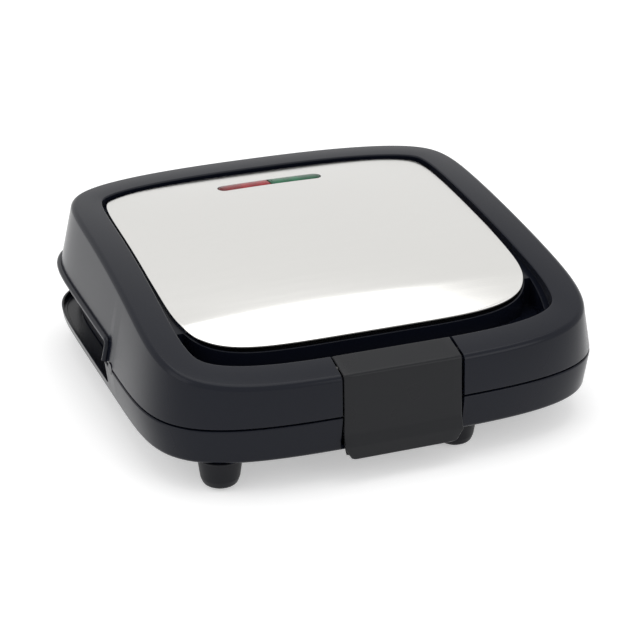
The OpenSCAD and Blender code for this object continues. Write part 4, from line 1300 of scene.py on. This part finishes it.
class WAFFLE_OT_hardware(bpy.types.Operator):
    """Hinges, pins, screws, heating and wiring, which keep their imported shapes"""

    bl_idname = "waffle.hardware"
    bl_label = "Hardware and Heating"

    def execute(self, context):
        for node in ("base_hinge_lugs", "lid_hinge_lugs"):
            dress(node, "zinc_plated_steel", 0.3)
        finishes = {
            "zinc_plated_steel": [
                "lower_plate_screws",
                "upper_plate_screws",
                "base_screws",
                "lid_screws",
                "latch_bracket_screws",
            ],
            "stainless_pin": ["hinge_pins", "latch_pin", "lower_element_clamps", "upper_element_clamps"],
            "aluminised_sheet": ["lower_reflector", "upper_reflector"],
            "heater_sheath": ["lower_element", "upper_element"],
            "steatite": ["terminal_block", "thermal_fuse", "lamp_holder"],
            "bakelite": ["thermostat"],
            "glass_sleeve": ["base_wiring", "lid_wiring"],
            "matt_abs": ["latch_bracket", "cord_inlet"],
            "moulded_rubber": ["foot_pads"],
            "red_lamp_glass": ["red_lamp"],
            "green_lamp_glass": ["green_lamp"],
        }
        for material, nodes in finishes.items():
            for node in nodes:
                dress(node, material)
        return {"FINISHED"}


class WAFFLE_OT_stage(bpy.types.Operator):
    """Pale floor, soft studio light and the camera"""

    bl_idname = "waffle.stage"
    bl_label = "Stage"

    def execute(self, context):
        self.floor()
        self.world()
        self.lamps()
        self.camera()
        context.scene.view_settings.view_transform = "Standard"
        return {"FINISHED"}

    def floor(self):
        mesh = bpy.data.meshes.new("floor")
        half = 3.0  # metres
        corners = [(-half, -half, 0), (half, -half, 0), (half, half, 0), (-half, half, 0)]
        mesh.from_pydata(corners, [], [(0, 1, 2, 3)])
        floor = bpy.data.objects.new("floor", mesh)
        bpy.context.scene.collection.objects.link(floor)
        floor.location.z = -0.0002
        material, tree, out = blank("pale_floor")
        # Nearly white paper, with a glow for rays that show the background and for no others
        paper = add(tree, "ShaderNodeBsdfDiffuse", Color=rgba(WHITE, 0.82))
        none = add(tree, "ShaderNodeEmission", Strength=0.0)
        glow = add(tree, "ShaderNodeEmission", Color=WHITE, Strength=0.42)
        seen = background_rays(tree)
        extra = add(
            tree, "ShaderNodeMixShader", i0=(seen, "Value"), i1=(none, "Emission"), i2=(glow, "Emission")
        )
        both = add(tree, "ShaderNodeAddShader", i0=(paper, "BSDF"), i1=(extra, "Shader"))
        tree.links.new(both.outputs[0], out.inputs["Surface"])
        mesh.materials.append(material)

    def world(self):
        world = bpy.data.worlds.new("studio")
        bpy.context.scene.world = world
        world.use_nodes = True
        tree = world.node_tree
        tree.nodes.clear()
        out = tree.nodes.new("ShaderNodeOutputWorld")
        # Plain white studio: white to the camera and in reflections, and a soft even fill on the object
        fill = add(tree, "ShaderNodeBackground", Color=WHITE, Strength=0.7)
        white = add(tree, "ShaderNodeBackground", Color=WHITE, Strength=1.0)
        seen = background_rays(tree)
        final = add(
            tree, "ShaderNodeMixShader", i0=(seen, "Value"), i1=(fill, "Background"), i2=(white, "Background")
        )
        tree.links.new(final.outputs[0], out.inputs["Surface"])

    def lamps(self):
        """Three soft area lamps aimed at the object: place and size in metres, power in watts."""
        target = Vector((0, 0, 0.04))
        specs = [
            ("left_softbox", (-1.3, -0.2, 0.75), (0.9, 1.3), 3.0),
            ("top_softbox", (0.1, 0.1, 1.5), (1.2, 1.2), 6.0),
            ("front_fill", (0.9, -1.5, 0.9), (0.8, 0.8), 3.0),
        ]
        for name, place, (wide, high), power in specs:
            data = bpy.data.lights.new(name, "AREA")
            data.shape, data.size, data.size_y, data.energy = "RECTANGLE", wide, high, power
            lamp = bpy.data.objects.new(name, data)
            lamp.location = place
            aim = target - Vector(place)
            lamp.rotation_euler = aim.to_track_quat("-Z", "Y").to_euler()
            bpy.context.scene.collection.objects.link(lamp)

    def camera(self):
        azimuth, elevation, roll = math.radians(-21.459), math.radians(25.439), math.radians(0.377)
        distance = 1.18599
        look = Vector((-1.11, -12.32, 34.92)) * MM
        back = Vector(
            (
                math.sin(azimuth) * math.cos(elevation),
                -math.cos(azimuth) * math.cos(elevation),
                math.sin(elevation),
            )
        )
        data = bpy.data.cameras.new("camera")
        data.sensor_width = 36.0
        data.lens = 123.18
        cam = bpy.data.objects.new("camera", data)
        cam.location = look + back * distance
        turn = (-back).to_track_quat("-Z", "Y").to_matrix() @ Matrix.Rotation(roll, 3, "Z")
        cam.rotation_euler = turn.to_euler()
        bpy.context.scene.collection.objects.link(cam)
        bpy.context.scene.camera = cam


class WAFFLE_PT_pieces(bpy.types.Panel):
    """Pieces of the waffle maker, in the order they are built"""

    bl_idname = "WAFFLE_PT_pieces"
    bl_label = "Waffle Maker"
    bl_space_type = "VIEW_3D"
    bl_region_type = "UI"
    bl_category = "Waffle Maker"

    def draw(self, context):
        for cls in OPERATORS:
            self.layout.operator(cls.bl_idname)
        for group in (context.scene.waffle_sizes, context.scene.waffle_colours):
            box = self.layout.box()
            for name in group.__annotations__:
                box.prop(group, name)


OPERATORS = (
    WAFFLE_OT_base_housing,
    WAFFLE_OT_lid_housing,
    WAFFLE_OT_steel_cover,
    WAFFLE_OT_indicator,
    WAFFLE_OT_latch,
    WAFFLE_OT_feet,
    WAFFLE_OT_plates,
    WAFFLE_OT_hardware,
    WAFFLE_OT_stage,
)
CLASSES = (WaffleMakerSizes, WaffleMakerColours, *OPERATORS, WAFFLE_PT_pieces)


def register():
    for cls in CLASSES:
        bpy.utils.register_class(cls)
    bpy.types.Scene.waffle_sizes = bpy.props.PointerProperty(type=WaffleMakerSizes)
    bpy.types.Scene.waffle_colours = bpy.props.PointerProperty(type=WaffleMakerColours)


def unregister():
    del bpy.types.Scene.waffle_colours
    del bpy.types.Scene.waffle_sizes
    for cls in reversed(CLASSES):
        bpy.utils.unregister_class(cls)


def main():
    register()
    for cls in OPERATORS:
        group, name = cls.bl_idname.split(".")
        getattr(getattr(bpy.ops, group), name)()


if __name__ == "__main__":
    main()
